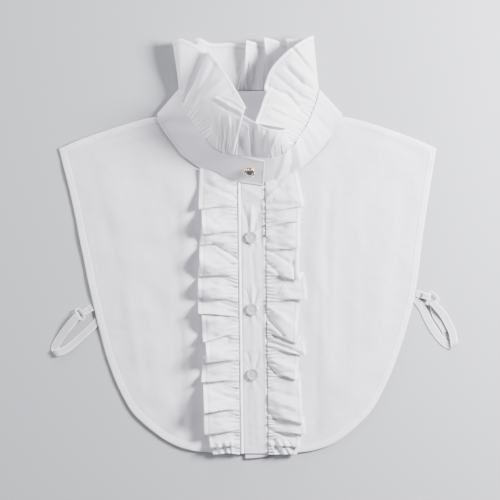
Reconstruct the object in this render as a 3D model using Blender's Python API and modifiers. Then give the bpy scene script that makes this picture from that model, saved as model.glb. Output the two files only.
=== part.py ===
"""White ruffled bib collar, laid out flat: two fronts and a back joined at the shoulders, a stand
collar with a gathered frill, a buttoned placket between two gathered ruffles, and an elastic
loop at each side. Tables and sizes are in millimetres, +Y runs up the garment and +Z off the
surface it lies on. The origin is on the centre line, on the flat underside of the back."""

import math

import bmesh
import bpy
from mathutils import Matrix, Vector

MM = 0.001

# Cloth walls and the clearances between them
CLOTH = 1.0
BAND_WALL = 1.0
ELASTIC_WALL = 0.9
SEAM_GAP = 0.3

# Levels of the layers, each the middle of its wall
BACK_THICKNESS = 1.0
FRONT_LEVEL = BACK_THICKNESS + SEAM_GAP + CLOTH / 2
TRIM_LEVEL = FRONT_LEVEL + CLOTH + SEAM_GAP

# Outer edge of the fronts, from the middle of the hem up to the shoulder tip
OUTER_EDGE = [  # y, half width, middle
    (-195.6, 0.0, 2.9),
    (-194.6, 38.0, 2.9),
    (-191.2, 62.5, 2.6),
    (-182.4, 83.0, 2.2),
    (-163.2, 107.0, 1.4),
    (-144.0, 121.4, 1.4),
    (-105.6, 138.2, 1.9),
    (-48.0, 154.2, 3.0),
    (9.6, 164.2, 1.0),
    (48.0, 170.9, 0.0),
    (97.4, 181.0, -2.2),
]
SHOULDER_EDGE = [  # half width, y
    (181.0, 97.4),
    (161.8, 105.8),
    (134.5, 115.6),
    (105.0, 124.6),
    (87.6, 128.2),
]
NECK_EDGE = [  # half width, y
    (0.0, 64.4),
    (16.5, 67.2),
    (34.0, 72.4),
    (52.0, 82.0),
    (67.3, 95.8),
    (80.4, 112.6),
    (87.6, 128.2),
]
BACK_INSET = 4.0
EDGE_STEPS = 24
SHOULDER_STEPS = 5
NECK_STEPS = 12
BACK_NECK_DROP = 9.0
BACK_NECK_SIDE = 84.0
BACK_NECK_TOP = 127.0
BACK_MIDDLE = -40.0

# Centre strip: it leans a little to the right towards the hem
LEAN_TOP = 0.5
LEAN_BOTTOM = 3.6
LEAN_FROM = 66.0
LEAN_TO = -196.0
PLACKET_LEFT = -12.5
PLACKET_RIGHT = 13.5
PLACKET_TOP_LEFT = 65.8
PLACKET_TOP_RIGHT = 61.4
PLACKET_BOTTOM = -195.4
PLACKET_FOLD = 0.5
UNDER_LEFT = -8.3
UNDER_RIGHT = 14.2
UNDER_TOP = 63.0
UNDER_BOTTOM = -200.4

# Soft swells of the fronts
SWELLS = [  # x, y, half length across, half length along, height, turn in degrees
    (-62.0, 20.0, 9.0, 46.0, 1.5, 4.0),
    (-66.0, -22.0, 10.0, 30.0, 1.2, -8.0),
    (-60.0, -104.0, 9.0, 34.0, 1.6, 6.0),
    (-60.0, -158.0, 10.0, 26.0, 1.5, -6.0),
    (-128.0, 40.0, 14.0, 70.0, 1.3, 12.0),
    (-112.0, -70.0, 13.0, 60.0, 1.2, 8.0),
    (66.0, 6.0, 10.0, 60.0, 1.6, -4.0),
    (72.0, -96.0, 11.0, 62.0, 1.4, 3.0),
    (112.0, 70.0, 14.0, 44.0, 1.5, -24.0),
    (128.0, -30.0, 14.0, 72.0, 1.3, -9.0),
    (96.0, -140.0, 14.0, 40.0, 1.2, -20.0),
]

# Stand collar, walked from its hidden right end round the back to the overlapping left end
STAND = [  # foot x, foot y, foot z, top x, top y, top z
    (-10.0, 68.3, 3.3, -9.0, 90.8, 24.6),
    (14.0, 65.8, 3.3, 13.6, 87.8, 25.2),
    (33.0, 71.8, 3.3, 27.0, 90.0, 25.4),
    (51.0, 81.4, 3.4, 38.0, 97.4, 24.0),
    (66.6, 96.0, 3.6, 48.0, 110.0, 20.5),
    (79.6, 112.2, 3.8, 57.5, 126.5, 15.0),
    (85.0, 121.8, 4.4, 62.5, 140.0, 11.0),
    (87.2, 127.2, 4.5, 65.4, 149.2, 8.4),
    (87.9, 130.4, 3.2, 66.2, 154.2, 5.8),
    (84.4, 129.6, 2.0, 62.8, 155.4, 3.5),
    (77.0, 125.6, 1.95, 54.5, 155.0, 3.2),
    (50.0, 119.4, 1.95, 36.0, 153.6, 3.2),
    (0.0, 116.6, 1.95, 0.0, 152.6, 3.2),
    (-50.0, 119.4, 1.95, -36.0, 153.2, 3.2),
    (-78.0, 125.6, 1.95, -56.0, 154.6, 3.2),
    (-84.8, 129.6, 2.0, -64.0, 155.4, 3.4),
    (-88.7, 130.4, 3.2, -67.8, 154.4, 5.8),
    (-88.0, 127.2, 4.8, -68.1, 149.0, 8.8),
    (-85.8, 121.8, 4.4, -65.3, 140.0, 11.0),
    (-80.0, 112.4, 3.8, -57.5, 126.0, 15.0),
    (-67.2, 96.2, 3.6, -47.0, 111.8, 20.5),
    (-52.0, 82.4, 3.5, -34.0, 97.6, 24.5),
    (-34.5, 73.2, 3.9, -18.0, 91.6, 26.5),
    (-16.0, 67.4, 4.9, -3.0, 89.4, 27.2),
    (13.2, 62.6, 5.0, 14.2, 85.6, 26.9),
]
STAND_STEPS = 3
STAND_ROWS = 3

# Frill, walked the same way: where each point of its hem is held, and where it lies
FRILL = [  # stand row, hem x, hem y, hem z, bow
    (0.15, -9.5, 131.0, 44.5, 4.5),
    (0.75, 2.0, 123.6, 49.5, 7.0),
    (1.4, 14.5, 117.0, 53.5, 9.0),
    (2.2, 26.0, 114.6, 54.0, 9.0),
    (2.75, 33.2, 115.0, 51.5, 7.0),
    (2.95, 33.4, 116.2, 48.4, 5.0),
    (3.15, 24.0, 118.4, 45.6, 4.0),
    (3.35, 12.0, 120.4, 43.6, 3.0),
    (3.5, 6.2, 121.4, 41.8, 3.0),
    (3.7, 5.6, 124.0, 39.2, 3.0),
    (4.1, 9.6, 134.0, 38.8, 4.0),
    (4.6, 14.0, 147.0, 38.4, 4.0),
    (5.0, 19.4, 155.6, 36.8, 3.0),
    (5.15, 20.2, 155.4, 33.6, 2.0),
    (5.35, 18.0, 151.0, 30.4, 1.0),
    (5.5, 14.8, 150.4, 27.4, 1.0),
    (5.75, 14.0, 157.8, 26.4, 2.5),
    (6.1, 20.0, 173.2, 28.5, 4.5),
    (6.6, 33.0, 188.0, 28.5, 6.0),
    (7.1, 47.0, 198.6, 25.0, 5.0),
    (7.8, 59.5, 205.4, 18.0, 3.0),
    (8.6, 59.0, 203.6, 12.5, 1.5),
    (9.6, 48.5, 202.6, 10.5, 1.0),
    (10.3, 35.0, 202.6, 11.5, 2.0),
    (10.5, 34.8, 201.4, 8.0, 0.5),
    (10.75, 37.5, 199.6, 5.0, 0.0),
    (10.95, 32.5, 198.8, 4.2, 0.0),
    (11.25, 22.0, 202.0, 9.0, 1.5),
    (11.5, 13.8, 203.6, 11.2, 2.5),
    (11.6, 14.0, 202.0, 8.0, 1.0),
    (11.75, 16.6, 199.4, 5.2, 0.0),
    (11.87, 11.0, 198.0, 4.2, 0.0),
    (12.0, 3.0, 199.6, 8.5, 1.5),
    (12.15, -3.2, 201.2, 11.2, 2.5),
    (12.25, -3.0, 199.8, 8.0, 1.0),
    (12.38, -0.5, 197.4, 5.0, 0.0),
    (12.55, -7.0, 197.0, 3.8, 0.0),
    (12.9, -20.0, 198.8, 3.8, 0.0),
    (13.3, -37.0, 198.4, 6.5, 1.0),
    (13.8, -49.0, 203.2, 11.5, 2.0),
    (14.4, -60.0, 200.6, 8.0, 1.0),
    (15.3, -72.6, 199.6, 10.0, 1.5),
    (16.3, -73.6, 200.2, 14.0, 2.5),
    (17.0, -66.4, 202.8, 18.0, 3.0),
    (17.5, -50.7, 196.2, 17.5, 3.0),
    (17.85, -38.5, 189.8, 15.6, 1.0),
    (18.0, -36.4, 188.8, 18.6, 0.5),
    (18.15, -38.6, 190.2, 22.4, 2.0),
    (18.35, -39.0, 190.0, 25.6, 4.0),
    (18.8, -28.0, 176.0, 30.0, 6.0),
    (19.3, -17.7, 160.6, 35.0, 6.0),
    (19.8, -8.0, 144.0, 38.0, 4.0),
    (20.05, -4.4, 137.0, 40.4, 2.5),
    (20.2, -5.0, 135.8, 44.2, 3.0),
    (20.4, -14.0, 139.0, 47.0, 4.5),
    (20.65, -28.0, 143.2, 48.2, 4.0),
    (20.8, -35.8, 144.8, 50.4, 6.0),
    (20.95, -36.4, 145.6, 53.6, 7.5),
    (21.3, -26.0, 147.4, 56.5, 9.0),
    (21.65, -15.5, 144.2, 59.0, 9.0),
    (22.0, -5.6, 136.2, 60.6, 9.0),
    (22.15, -6.2, 134.4, 57.2, 7.5),
    (22.4, -11.4, 129.8, 53.0, 3.0),
    (22.7, -11.8, 125.6, 47.6, 2.0),
    (23.2, -2.0, 119.4, 52.4, 4.5),
]
FRILL_STEPS = 3
FRILL_ROWS = 4
FRILL_GATHERS = 48
FRILL_GATHER_HEIGHT = 0.7
FRILL_ROOT_GAP = 0.9
SMOOTH_PLACES = (-0.2, 8.1, 16.1, 23.6)
TURN_FADE = 0.9

# Ruffles beside the placket: the crest of each fold, from the neck down
LEFT_FOLDS = [  # crest y at the hem, crest y at the seam, reach, height, tuck
    (40.3, 48.5, 36.8, 8.5, 5.0),
    (15.8, 20.4, 33.5, 8.0, 5.5),
    (5.3, 9.4, 35.6, 6.5, 3.5),
    (-24.0, -21.0, 36.8, 9.0, 6.0),
    (-44.6, -45.0, 38.4, 8.0, 5.0),
    (-60.5, -62.0, 38.2, 7.0, 4.5),
    (-87.4, -76.0, 34.0, 8.5, 6.0),
    (-107.5, -101.5, 31.0, 8.0, 5.0),
    (-126.2, -121.5, 36.0, 7.5, 5.0),
    (-155.5, -150.0, 33.8, 9.0, 6.0),
    (-176.6, -170.4, 33.8, 8.0, 5.0),
    (-189.0, -186.0, 28.5, 6.5, 3.5),
]
RIGHT_FOLDS = [  # crest y at the hem, crest y at the seam, reach, height, tuck
    (43.2, 38.5, 36.8, 8.0, 4.5),
    (28.0, 25.0, 33.0, 6.5, 4.5),
    (3.0, 2.0, 32.6, 8.0, 5.0),
    (-27.8, -20.5, 31.5, 9.0, 6.0),
    (-47.5, -44.0, 38.6, 8.0, 4.5),
    (-87.8, -76.0, 28.8, 9.5, 5.0),
    (-100.8, -92.0, 37.2, 6.5, 2.6),
    (-124.2, -113.0, 28.2, 8.5, 5.5),
    (-165.0, -156.0, 33.2, 9.0, 5.0),
    (-176.6, -172.0, 36.0, 6.5, 2.5),
    (-188.6, -186.0, 30.0, 6.5, 3.5),
]
LEFT_TOP = (78.6, 65.4, 35.2, 2.0)  # hem y, seam y, reach, height
RIGHT_TOP = (75.6, 64.6, 30.4, 2.0)
RUFFLE_BOTTOM = -196.0
RUFFLE_BOTTOM_DRAW = 3.0
RUFFLE_END_HEIGHT = 2.0
RUFFLE_LOW = 0.3
RUFFLE_FULL_HEIGHT = 9.0
TROUGH_SEAM_SHARE = 0.4
TROUGH_REACH_SHARE = 0.6
RUFFLE_STEPS = 4
RUFFLE_ROWS = 4
RUFFLE_SEAM_GAP = 0.8
RUFFLE_PUFF = 3.2
RUFFLE_SEAM_LIFT = 0.5
GATHER_COLUMNS = 4
GATHER_HEIGHT = 0.45

# Buttons
BUTTON_RADIUS = 5.7
BUTTON_THICKNESS = 2.3
BUTTON_RIM = 1.3
BUTTON_DISH = 0.6
BUTTON_HEIGHTS = [12.0, -57.0, -119.4]
BUTTON_X = 0.1
NECK_BUTTON_X = -0.1
NECK_BUTTON_SHARE = 0.47
NECK_BUTTON_RADIUS = 6.0
NECK_RIM_WIRE = 1.25
NECK_BUTTON_SHANK = 0.4
DOME_RADIUS = 4.4
DOME_HEIGHT = 3.6
ROUND_STEPS = 16

# Elastic straps: the middle line, and the direction across the strap in degrees
STRAP_WIDTH = 8.0
TAB_WIDTH = 6.4
STRAP_STEPS = 3
LEFT_TAB = [  # x, y, z, across
    (-151.6, -55.0, 1.8, 120.0),
    (-155.6, -57.4, 1.75, 120.5),
    (-159.2, -59.6, 1.58, 120.5),
    (-160.8, -60.5, 1.58, 120.5),
    (-161.6, -61.0, 1.95, 120.5),
    (-162.0, -61.2, 3.0, 120.5),
    (-161.6, -61.0, 4.05, 120.5),
    (-160.8, -60.5, 4.42, 120.5),
    (-159.2, -59.6, 4.3, 120.5),
    (-155.9, -57.6, 3.4, 120.5),
]
LEFT_STRAP = [  # x, y, z, across
    (-176.2, -76.2, 0.9, 316.0),
    (-171.6, -70.6, 1.2, 313.0),
    (-167.0, -64.9, 1.55, 305.0),
    (-165.2, -63.1, 1.58, 301.0),
    (-164.4, -62.6, 1.95, 300.5),
    (-164.0, -62.4, 3.0, 300.5),
    (-164.4, -62.6, 4.05, 300.5),
    (-165.2, -63.1, 4.42, 301.0),
    (-167.2, -65.1, 4.4, 306.0),
    (-172.0, -70.6, 3.7, 315.0),
    (-177.4, -77.6, 2.5, 319.0),
    (-182.2, -84.2, 1.5, 326.0),
    (-186.2, -91.0, 0.8, 332.0),
    (-187.5, -94.8, 0.55, 325.0),
    (-188.0, -97.4, 0.75, 318.0),
    (-187.9, -98.9, 1.5, 313.0),
    (-187.4, -99.2, 2.4, 308.0),
    (-186.3, -98.8, 3.1, 303.0),
    (-184.2, -98.2, 3.3, 296.0),
    (-179.0, -96.6, 2.4, 290.0),
    (-172.6, -92.4, 1.3, 303.0),
    (-165.0, -85.8, 0.6, 310.0),
    (-156.8, -78.4, 0.55, 312.0),
    (-146.2, -68.4, 0.55, 313.0),
]
RIGHT_TAB = [  # x, y, z, across
    (158.9, -41.7, 1.8, 76.0),
    (164.6, -43.1, 1.75, 76.0),
    (169.6, -44.4, 1.6, 76.0),
    (172.3, -45.1, 1.95, 76.0),
    (173.0, -45.3, 3.0, 76.0),
    (172.3, -45.1, 4.05, 76.0),
    (169.6, -44.4, 4.4, 76.0),
    (165.2, -43.3, 3.4, 76.0),
]
RIGHT_STRAP = [  # x, y, z, across
    (157.6, -45.2, 0.55, 28.0),
    (161.6, -50.6, 0.55, 31.0),
    (165.6, -56.4, 0.55, 27.0),
    (170.3, -66.1, 0.55, 27.0),
    (174.6, -74.3, 0.55, 30.0),
    (180.5, -82.6, 0.55, 37.0),
    (186.0, -88.6, 0.55, 46.0),
    (191.2, -91.9, 0.6, 50.0),
    (194.2, -92.7, 0.95, 44.0),
    (195.6, -92.4, 1.8, 37.0),
    (195.9, -91.4, 2.7, 31.0),
    (195.8, -89.4, 3.25, 25.0),
    (195.4, -86.0, 3.2, 18.0),
    (194.2, -79.4, 2.6, 19.0),
    (191.4, -73.0, 2.4, 23.0),
    (187.0, -64.6, 2.6, 30.0),
    (181.8, -57.6, 3.7, 31.0),
    (178.0, -53.4, 4.4, 26.0),
    (175.8, -50.9, 4.42, 22.2),
    (175.4, -50.0, 4.05, 22.2),
    (175.2, -49.6, 3.0, 22.2),
    (175.4, -50.0, 1.95, 22.2),
    (175.8, -50.9, 1.58, 22.2),
    (176.5, -53.6, 1.5, 22.0),
    (176.9, -58.0, 1.1, 22.0),
    (179.0, -63.8, 0.7, 30.0),
    (184.6, -72.2, 0.6, 36.0),
    (188.0, -78.6, 0.6, 30.0),
]
RING_WIRE = 0.6
RING_LEVEL = 3.0
LEFT_RING = [  # x, y
    (-159.1, -63.3),
    (-160.8, -60.5),
    (-162.4, -57.6),
    (-164.0, -56.4),
    (-166.0, -56.7),
    (-167.2, -58.3),
    (-166.9, -60.3),
    (-165.2, -63.1),
    (-163.6, -66.0),
    (-162.0, -67.2),
    (-160.0, -66.9),
    (-158.8, -65.3),
]
RIGHT_RING = [  # x, y
    (172.6, -41.0),
    (174.6, -40.2),
    (177.2, -41.8),
    (179.6, -44.6),
    (181.0, -47.2),
    (180.2, -49.0),
    (178.0, -50.0),
    (175.8, -50.9),
    (173.6, -51.8),
    (171.4, -52.5),
    (169.9, -51.4),
    (170.3, -48.9),
    (170.9, -46.6),
    (171.6, -44.3),
]


def material(name, colour, roughness, metallic=0.0, transmission=0.0):
    made = bpy.data.materials.new(name)
    made.use_nodes = True
    shader = made.node_tree.nodes["Principled BSDF"]
    shader.inputs["Base Color"].default_value = (*colour, 1.0)
    shader.inputs["Roughness"].default_value = roughness
    shader.inputs["Metallic"].default_value = metallic
    shader.inputs["Transmission Weight"].default_value = transmission
    made.diffuse_color = (*colour, 1.0)
    return made


def mix(low, high, share):
    return low + (high - low) * share


def through(rows, place):
    """Values on a smooth curve through a table's rows, at a place counted in rows."""
    last = len(rows) - 1
    place = min(max(place, 0.0), float(last))
    start = min(int(place), last - 1)
    share = place - start
    before = rows[max(start - 1, 0)]
    after = rows[min(start + 2, last)]
    values = []
    for a, b, c, d in zip(before, rows[start], rows[start + 1], after):
        slope_in = (c - a) / 2
        slope_out = (d - b) / 2
        square = share * share
        cube = square * share
        values.append(
            (2 * cube - 3 * square + 1) * b
            + (cube - 2 * square + share) * slope_in
            + (3 * square - 2 * cube) * c
            + (cube - square) * slope_out
        )
    return values


def evenly(rows, share, columns):
    """Values at a share of the length that the first columns of a table's curve run."""
    steps_a_row = 8
    count = (len(rows) - 1) * steps_a_row
    points = [through(rows, i / steps_a_row) for i in range(count + 1)]
    lengths = [0.0]
    for a, b in zip(points, points[1:]):
        lengths.append(lengths[-1] + math.dist(a[:columns], b[:columns]))
    wanted = min(max(share, 0.0), 1.0) * lengths[-1]
    i = 0
    while i < count - 1 and lengths[i + 1] < wanted:
        i += 1
    part = (wanted - lengths[i]) / max(lengths[i + 1] - lengths[i], 1e-9)
    return [mix(a, b, part) for a, b in zip(points[i], points[i + 1])]


def at_x(rows, x):
    """The second column of a table at a value of its rising first column."""
    x = min(max(x, rows[0][0]), rows[-1][0])
    for i in range(len(rows) - 1):
        if x <= rows[i + 1][0]:
            share = (x - rows[i][0]) / (rows[i + 1][0] - rows[i][0])
            return through(rows, i + share)[1]
    return rows[-1][1]


def lean(y):
    """Sideways shift of the centre strip at a height."""
    share = (LEAN_FROM - y) / (LEAN_FROM - LEAN_TO)
    return mix(LEAN_TOP, LEAN_BOTTOM, min(max(share, 0.0), 1.0))


def neck_y(x):
    return at_x(NECK_EDGE, abs(x))


def swell(x, y):
    """Height of the fronts' soft swells over their flat level."""
    height = 0.0
    for middle_x, middle_y, across, along, rise, turn in SWELLS:
        angle = math.radians(turn)
        dx = x - middle_x
        dy = y - middle_y
        a = (dx * math.cos(angle) + dy * math.sin(angle)) / across
        b = (dy * math.cos(angle) - dx * math.sin(angle)) / along
        height += rise * math.exp(-a * a - b * b)
    return height


def front_level(x, y):
    """Middle of the fronts' wall."""
    return FRONT_LEVEL + swell(x, y)


def finish(obj, collection, look):
    for holder in list(obj.users_collection):
        holder.objects.unlink(obj)
    collection.objects.link(obj)
    obj.data.materials.clear()
    obj.data.materials.append(look)
    return obj


def smooth_faces(mesh, degrees=50.0):
    mesh.shade_smooth()
    mesh.set_sharp_from_angle(angle=math.radians(degrees))


def cloth(name, columns, rows, point, wall, collection, look):
    """A grid laid on point(u, v), with u and v from 0 to 1, and given a wall."""
    mesh = bpy.data.meshes.new(name)
    grid = bmesh.new()
    bmesh.ops.create_grid(grid, x_segments=columns, y_segments=rows, size=0.5)
    for vertex in grid.verts:
        x, y, z = point(vertex.co.x + 0.5, vertex.co.y + 0.5)
        vertex.co = Vector((x, y, z)) * MM
    grid.to_mesh(mesh)
    grid.free()
    smooth_faces(mesh)
    obj = bpy.data.objects.new(name, mesh)
    finish(obj, collection, look)
    shell = obj.modifiers.new("wall", "SOLIDIFY")
    shell.thickness = wall * MM
    shell.offset = 0.0
    return obj


def flat_piece(name, outline, low, high, collection, look):
    """A flat outline given its thickness."""
    curve = bpy.data.curves.new(name, "CURVE")
    curve.dimensions = "2D"
    curve.fill_mode = "BOTH"
    curve.extrude = (high - low) / 2 * MM
    spline = curve.splines.new("POLY")
    spline.points.add(len(outline) - 1)
    for i, (x, y) in enumerate(outline):
        spline.points[i].co = (x * MM, y * MM, 0.0, 1.0)
    spline.use_cyclic_u = True
    obj = bpy.data.objects.new(name, curve)
    finish(obj, collection, look)
    obj.location.z = (high + low) / 2 * MM
    return obj


def turned(name, profile, place, axis, collection, look):
    """A profile of (radius, height) turned round its own axis, then stood along an axis."""
    mesh = bpy.data.meshes.new(name)
    mesh.from_pydata(
        [(radius * MM, 0.0, height * MM) for radius, height in profile],
        [(i, i + 1) for i in range(len(profile) - 1)],
        [],
    )
    obj = bpy.data.objects.new(name, mesh)
    finish(obj, collection, look)
    screw = obj.modifiers.new("turn", "SCREW")
    screw.steps = ROUND_STEPS
    screw.render_steps = ROUND_STEPS
    screw.use_merge_vertices = True
    screw.merge_threshold = 1e-6
    screw.use_smooth_shade = True
    turn = Vector((0.0, 0.0, 1.0)).rotation_difference(Vector(axis)).to_matrix().to_4x4()
    obj.matrix_world = Matrix.Translation(Vector(place) * MM) @ turn
    return obj


def ring(name, outline, level, wire, collection, look):
    """A closed loop of round wire."""
    curve = bpy.data.curves.new(name, "CURVE")
    curve.dimensions = "3D"
    curve.bevel_depth = wire * MM
    curve.bevel_resolution = 2
    spline = curve.splines.new("POLY")
    closed = outline + outline[:3]
    steps = 3
    count = len(outline) * steps
    spline.points.add(count - 1)
    for i in range(count):
        x, y = through(outline[-1:] + closed, 1 + i / steps)
        spline.points[i].co = (x * MM, y * MM, level * MM, 1.0)
    spline.use_cyclic_u = True
    obj = bpy.data.objects.new(name, curve)
    return finish(obj, collection, look)


def outer_point(side, share):
    y, half, middle = evenly(OUTER_EDGE, share, 2)
    return middle + side * half, y


def shoulder_point(side, share):
    half, y = evenly(SHOULDER_EDGE, share, 2)
    shift = mix(OUTER_EDGE[-1][2], 0.0, share)
    return side * half + shift, y


def neck_point(side, share):
    half, y = evenly(NECK_EDGE, share, 2)
    return side * half, y


def share_at(edge, side, x):
    """Share of an edge's length at which it has come out to an x."""
    low = 0.0
    high = 1.0
    for _ in range(40):
        middle = (low + high) / 2
        if edge(side, middle)[0] * side < x * side:
            low = middle
        else:
            high = middle
    return high


def front(side, inner, collection, look):
    """One front: a patch between its centre edge, hem and armhole, shoulder and neck."""
    hem_start = share_at(outer_point, side, inner + lean(OUTER_EDGE[0][0]))
    neck_start = share_at(neck_point, side, inner + lean(NECK_EDGE[0][1]))

    def centre(v):
        y = mix(neck_point(side, neck_start)[1], outer_point(side, hem_start)[1], v)
        return inner + lean(y), y

    def neck(u):
        return neck_point(side, mix(neck_start, 1.0, u))

    def hem(u):
        return outer_point(side, mix(hem_start, 1.0, u))

    def shoulder(v):
        return shoulder_point(side, 1.0 - v)

    corners = (neck(0.0), neck(1.0), hem(0.0), hem(1.0))

    def point(u, v):
        u_side = 1.0 - u if side < 0 else u
        values = []
        for axis in (0, 1):
            ends = mix(neck(u_side)[axis], hem(u_side)[axis], v)
            sides = mix(centre(v)[axis], shoulder(v)[axis], u_side)
            square = mix(
                mix(corners[0][axis], corners[1][axis], u_side),
                mix(corners[2][axis], corners[3][axis], u_side),
                v,
            )
            values.append(ends + sides - square)
        x, y = values
        return x, y, front_level(x, y)

    name = "front_left" if side < 0 else "front_right"
    return cloth(name, 26, 9, point, CLOTH, collection, look)


def back(collection, look):
    """The back: the fronts' outline drawn in a little, with a shallow neckline."""
    outline = []
    for side in (1, -1):
        edge = [outer_point(side, i / EDGE_STEPS) for i in range(1, EDGE_STEPS + 1)]
        edge += [shoulder_point(side, i / SHOULDER_STEPS) for i in range(1, SHOULDER_STEPS + 1)]
        drawn_in = []
        for x, y in edge:
            reach = math.hypot(x, y - BACK_MIDDLE)
            scale = (reach - BACK_INSET) / reach
            drawn_in.append((x * scale, BACK_MIDDLE + (y - BACK_MIDDLE) * scale))
        if side < 0:
            drawn_in.reverse()
        outline += drawn_in
        if side > 0:
            for i in range(1, NECK_STEPS):
                x = mix(BACK_NECK_SIDE, -BACK_NECK_SIDE, i / NECK_STEPS)
                dip = 1.0 - (x / BACK_NECK_SIDE) ** 2
                outline.append((x, BACK_NECK_TOP - BACK_NECK_DROP * dip))
    return flat_piece("back", outline, 0.0, BACK_THICKNESS, collection, look)


def placket(collection, look):
    """The top strip of the front opening, folded double along its left edge."""

    def point(u, v):
        y = mix(PLACKET_BOTTOM, mix(PLACKET_TOP_LEFT, PLACKET_TOP_RIGHT, u), v)
        x = mix(PLACKET_LEFT, PLACKET_RIGHT, u) + lean(y)
        fold = PLACKET_FOLD * math.exp(-((u * 8.0 - 0.4) ** 2))
        return x, y, TRIM_LEVEL + fold

    return cloth("placket", 8, 8, point, CLOTH, collection, look)


def under_placket(collection, look):
    """The lower strip of the opening, which shows below the hem."""

    def point(u, v):
        droop = 2.6 * u * u
        y = mix(UNDER_BOTTOM + droop, UNDER_TOP, v)
        x = mix(UNDER_LEFT, UNDER_RIGHT, u) + lean(y)
        return x, y, FRONT_LEVEL

    return cloth("under_placket", 4, 8, point, CLOTH, collection, look)


def stand_point(place, share):
    foot_x, foot_y, foot_z, top_x, top_y, top_z = through(STAND, place)
    return Vector((
        mix(foot_x, top_x, share),
        mix(foot_y, top_y, share),
        mix(foot_z, top_z, share),
    ))


def stand_normal(place):
    """Direction out of the stand's outer face."""
    ahead = stand_point(min(place + 0.05, len(STAND) - 1), 0.5)
    behind = stand_point(max(place - 0.05, 0), 0.5)
    rise = stand_point(place, 1.0) - stand_point(place, 0.0)
    return (ahead - behind).cross(rise).normalized()


def stand(collection, look):
    columns = (len(STAND) - 1) * STAND_STEPS

    def point(u, v):
        return stand_point(u * (len(STAND) - 1), v)

    return cloth("collar_stand", columns, STAND_ROWS, point, BAND_WALL, collection, look)


def frill(collection, look):
    """The gathered frill: ruled from the stand's top to its waving hem, and bowed."""
    columns = (len(FRILL) - 1) * FRILL_STEPS

    def point(u, v):
        place, hem_x, hem_y, hem_z, bow = through(FRILL, u * (len(FRILL) - 1))
        root = stand_point(place, 1.0)
        lift = (root - stand_point(place, 0.0)).normalized()
        root = root + lift * FRILL_ROOT_GAP
        hem = Vector((hem_x, hem_y, hem_z))
        flat = mix(root, hem, v)
        turning = sum(math.exp(-((place - turn) ** 2)) for turn in SMOOTH_PLACES)
        gather = math.sin(u * FRILL_GATHERS * 2 * math.pi) * FRILL_GATHER_HEIGHT * (1.0 - TURN_FADE * turning)
        normal = stand_normal(place)
        curve = Vector((0.0, 0.0, 1.0)) * bow * math.sin(math.pi * v)
        return flat + curve + normal * gather * (1.0 - v) ** 2

    return cloth("collar_frill", columns, FRILL_ROWS, point, CLOTH, collection, look)


def fold_path(folds, top):
    """Rows of the ruffle's hem: each fold's crest, and the trough tucked back under it."""
    rows = [top]
    for i, (crest, seam, reach, height, tuck) in enumerate(folds):
        next_seam = RUFFLE_BOTTOM
        next_reach = reach
        if i + 1 < len(folds):
            next_seam = folds[i + 1][1]
            next_reach = folds[i + 1][2]
        rows.append((crest, seam, reach, height))
        trough_seam = mix(seam, next_seam, TROUGH_SEAM_SHARE)
        trough_reach = mix(reach, next_reach, TROUGH_REACH_SHARE)
        rows.append((crest + tuck, trough_seam, trough_reach, RUFFLE_LOW))
    last_reach = folds[-1][2] - RUFFLE_BOTTOM_DRAW
    rows.append((RUFFLE_BOTTOM, RUFFLE_BOTTOM, last_reach, RUFFLE_END_HEIGHT))
    return rows


def ruffle(name, folds, top, side, seam_x, collection, look):
    """A gathered strip beside the placket, its free edge falling in overlapping folds."""
    rows = fold_path(folds, top)
    intervals = len(rows) - 1
    columns = intervals * RUFFLE_STEPS

    def point(u, v):
        place = (1.0 - u if side > 0 else u) * intervals
        hem_y, seam_y, reach, height = through(rows, place)
        height = max(height, 0.0)
        ease = v * v * (3.0 - 2.0 * v)
        y = mix(seam_y, hem_y, mix(v, ease, 0.4))
        x = seam_x + lean(y) + side * reach * v
        gather = math.sin(place * RUFFLE_STEPS / GATHER_COLUMNS * 2 * math.pi) * GATHER_HEIGHT
        level = TRIM_LEVEL + RUFFLE_SEAM_LIFT + swell(x, y)
        lift = height * v ** 0.8 + RUFFLE_PUFF * math.sin(math.pi * v) * (0.35 + 0.65 * height / RUFFLE_FULL_HEIGHT)
        return x, y, level + lift + gather * (1.0 - v) ** 1.5

    return cloth(name, columns, RUFFLE_ROWS, point, CLOTH, collection, look)


def shirt_button(name, y, collection, look):
    """A dished button with a rounded rim."""
    half = BUTTON_THICKNESS / 2
    rim = BUTTON_RADIUS - BUTTON_RIM
    profile = [
        (0.0, half - BUTTON_DISH),
        (rim - 0.6, half - BUTTON_DISH),
        (rim, half),
        (BUTTON_RADIUS - 0.4, half),
        (BUTTON_RADIUS, half - 0.5),
        (BUTTON_RADIUS, -half + 0.6),
        (BUTTON_RADIUS - 0.7, -half),
        (0.0, -half),
    ]
    z = TRIM_LEVEL + CLOTH / 2 + SEAM_GAP + half
    return turned(name, profile, (BUTTON_X + lean(y), y, z), (0, 0, 1), collection, look)


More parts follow.
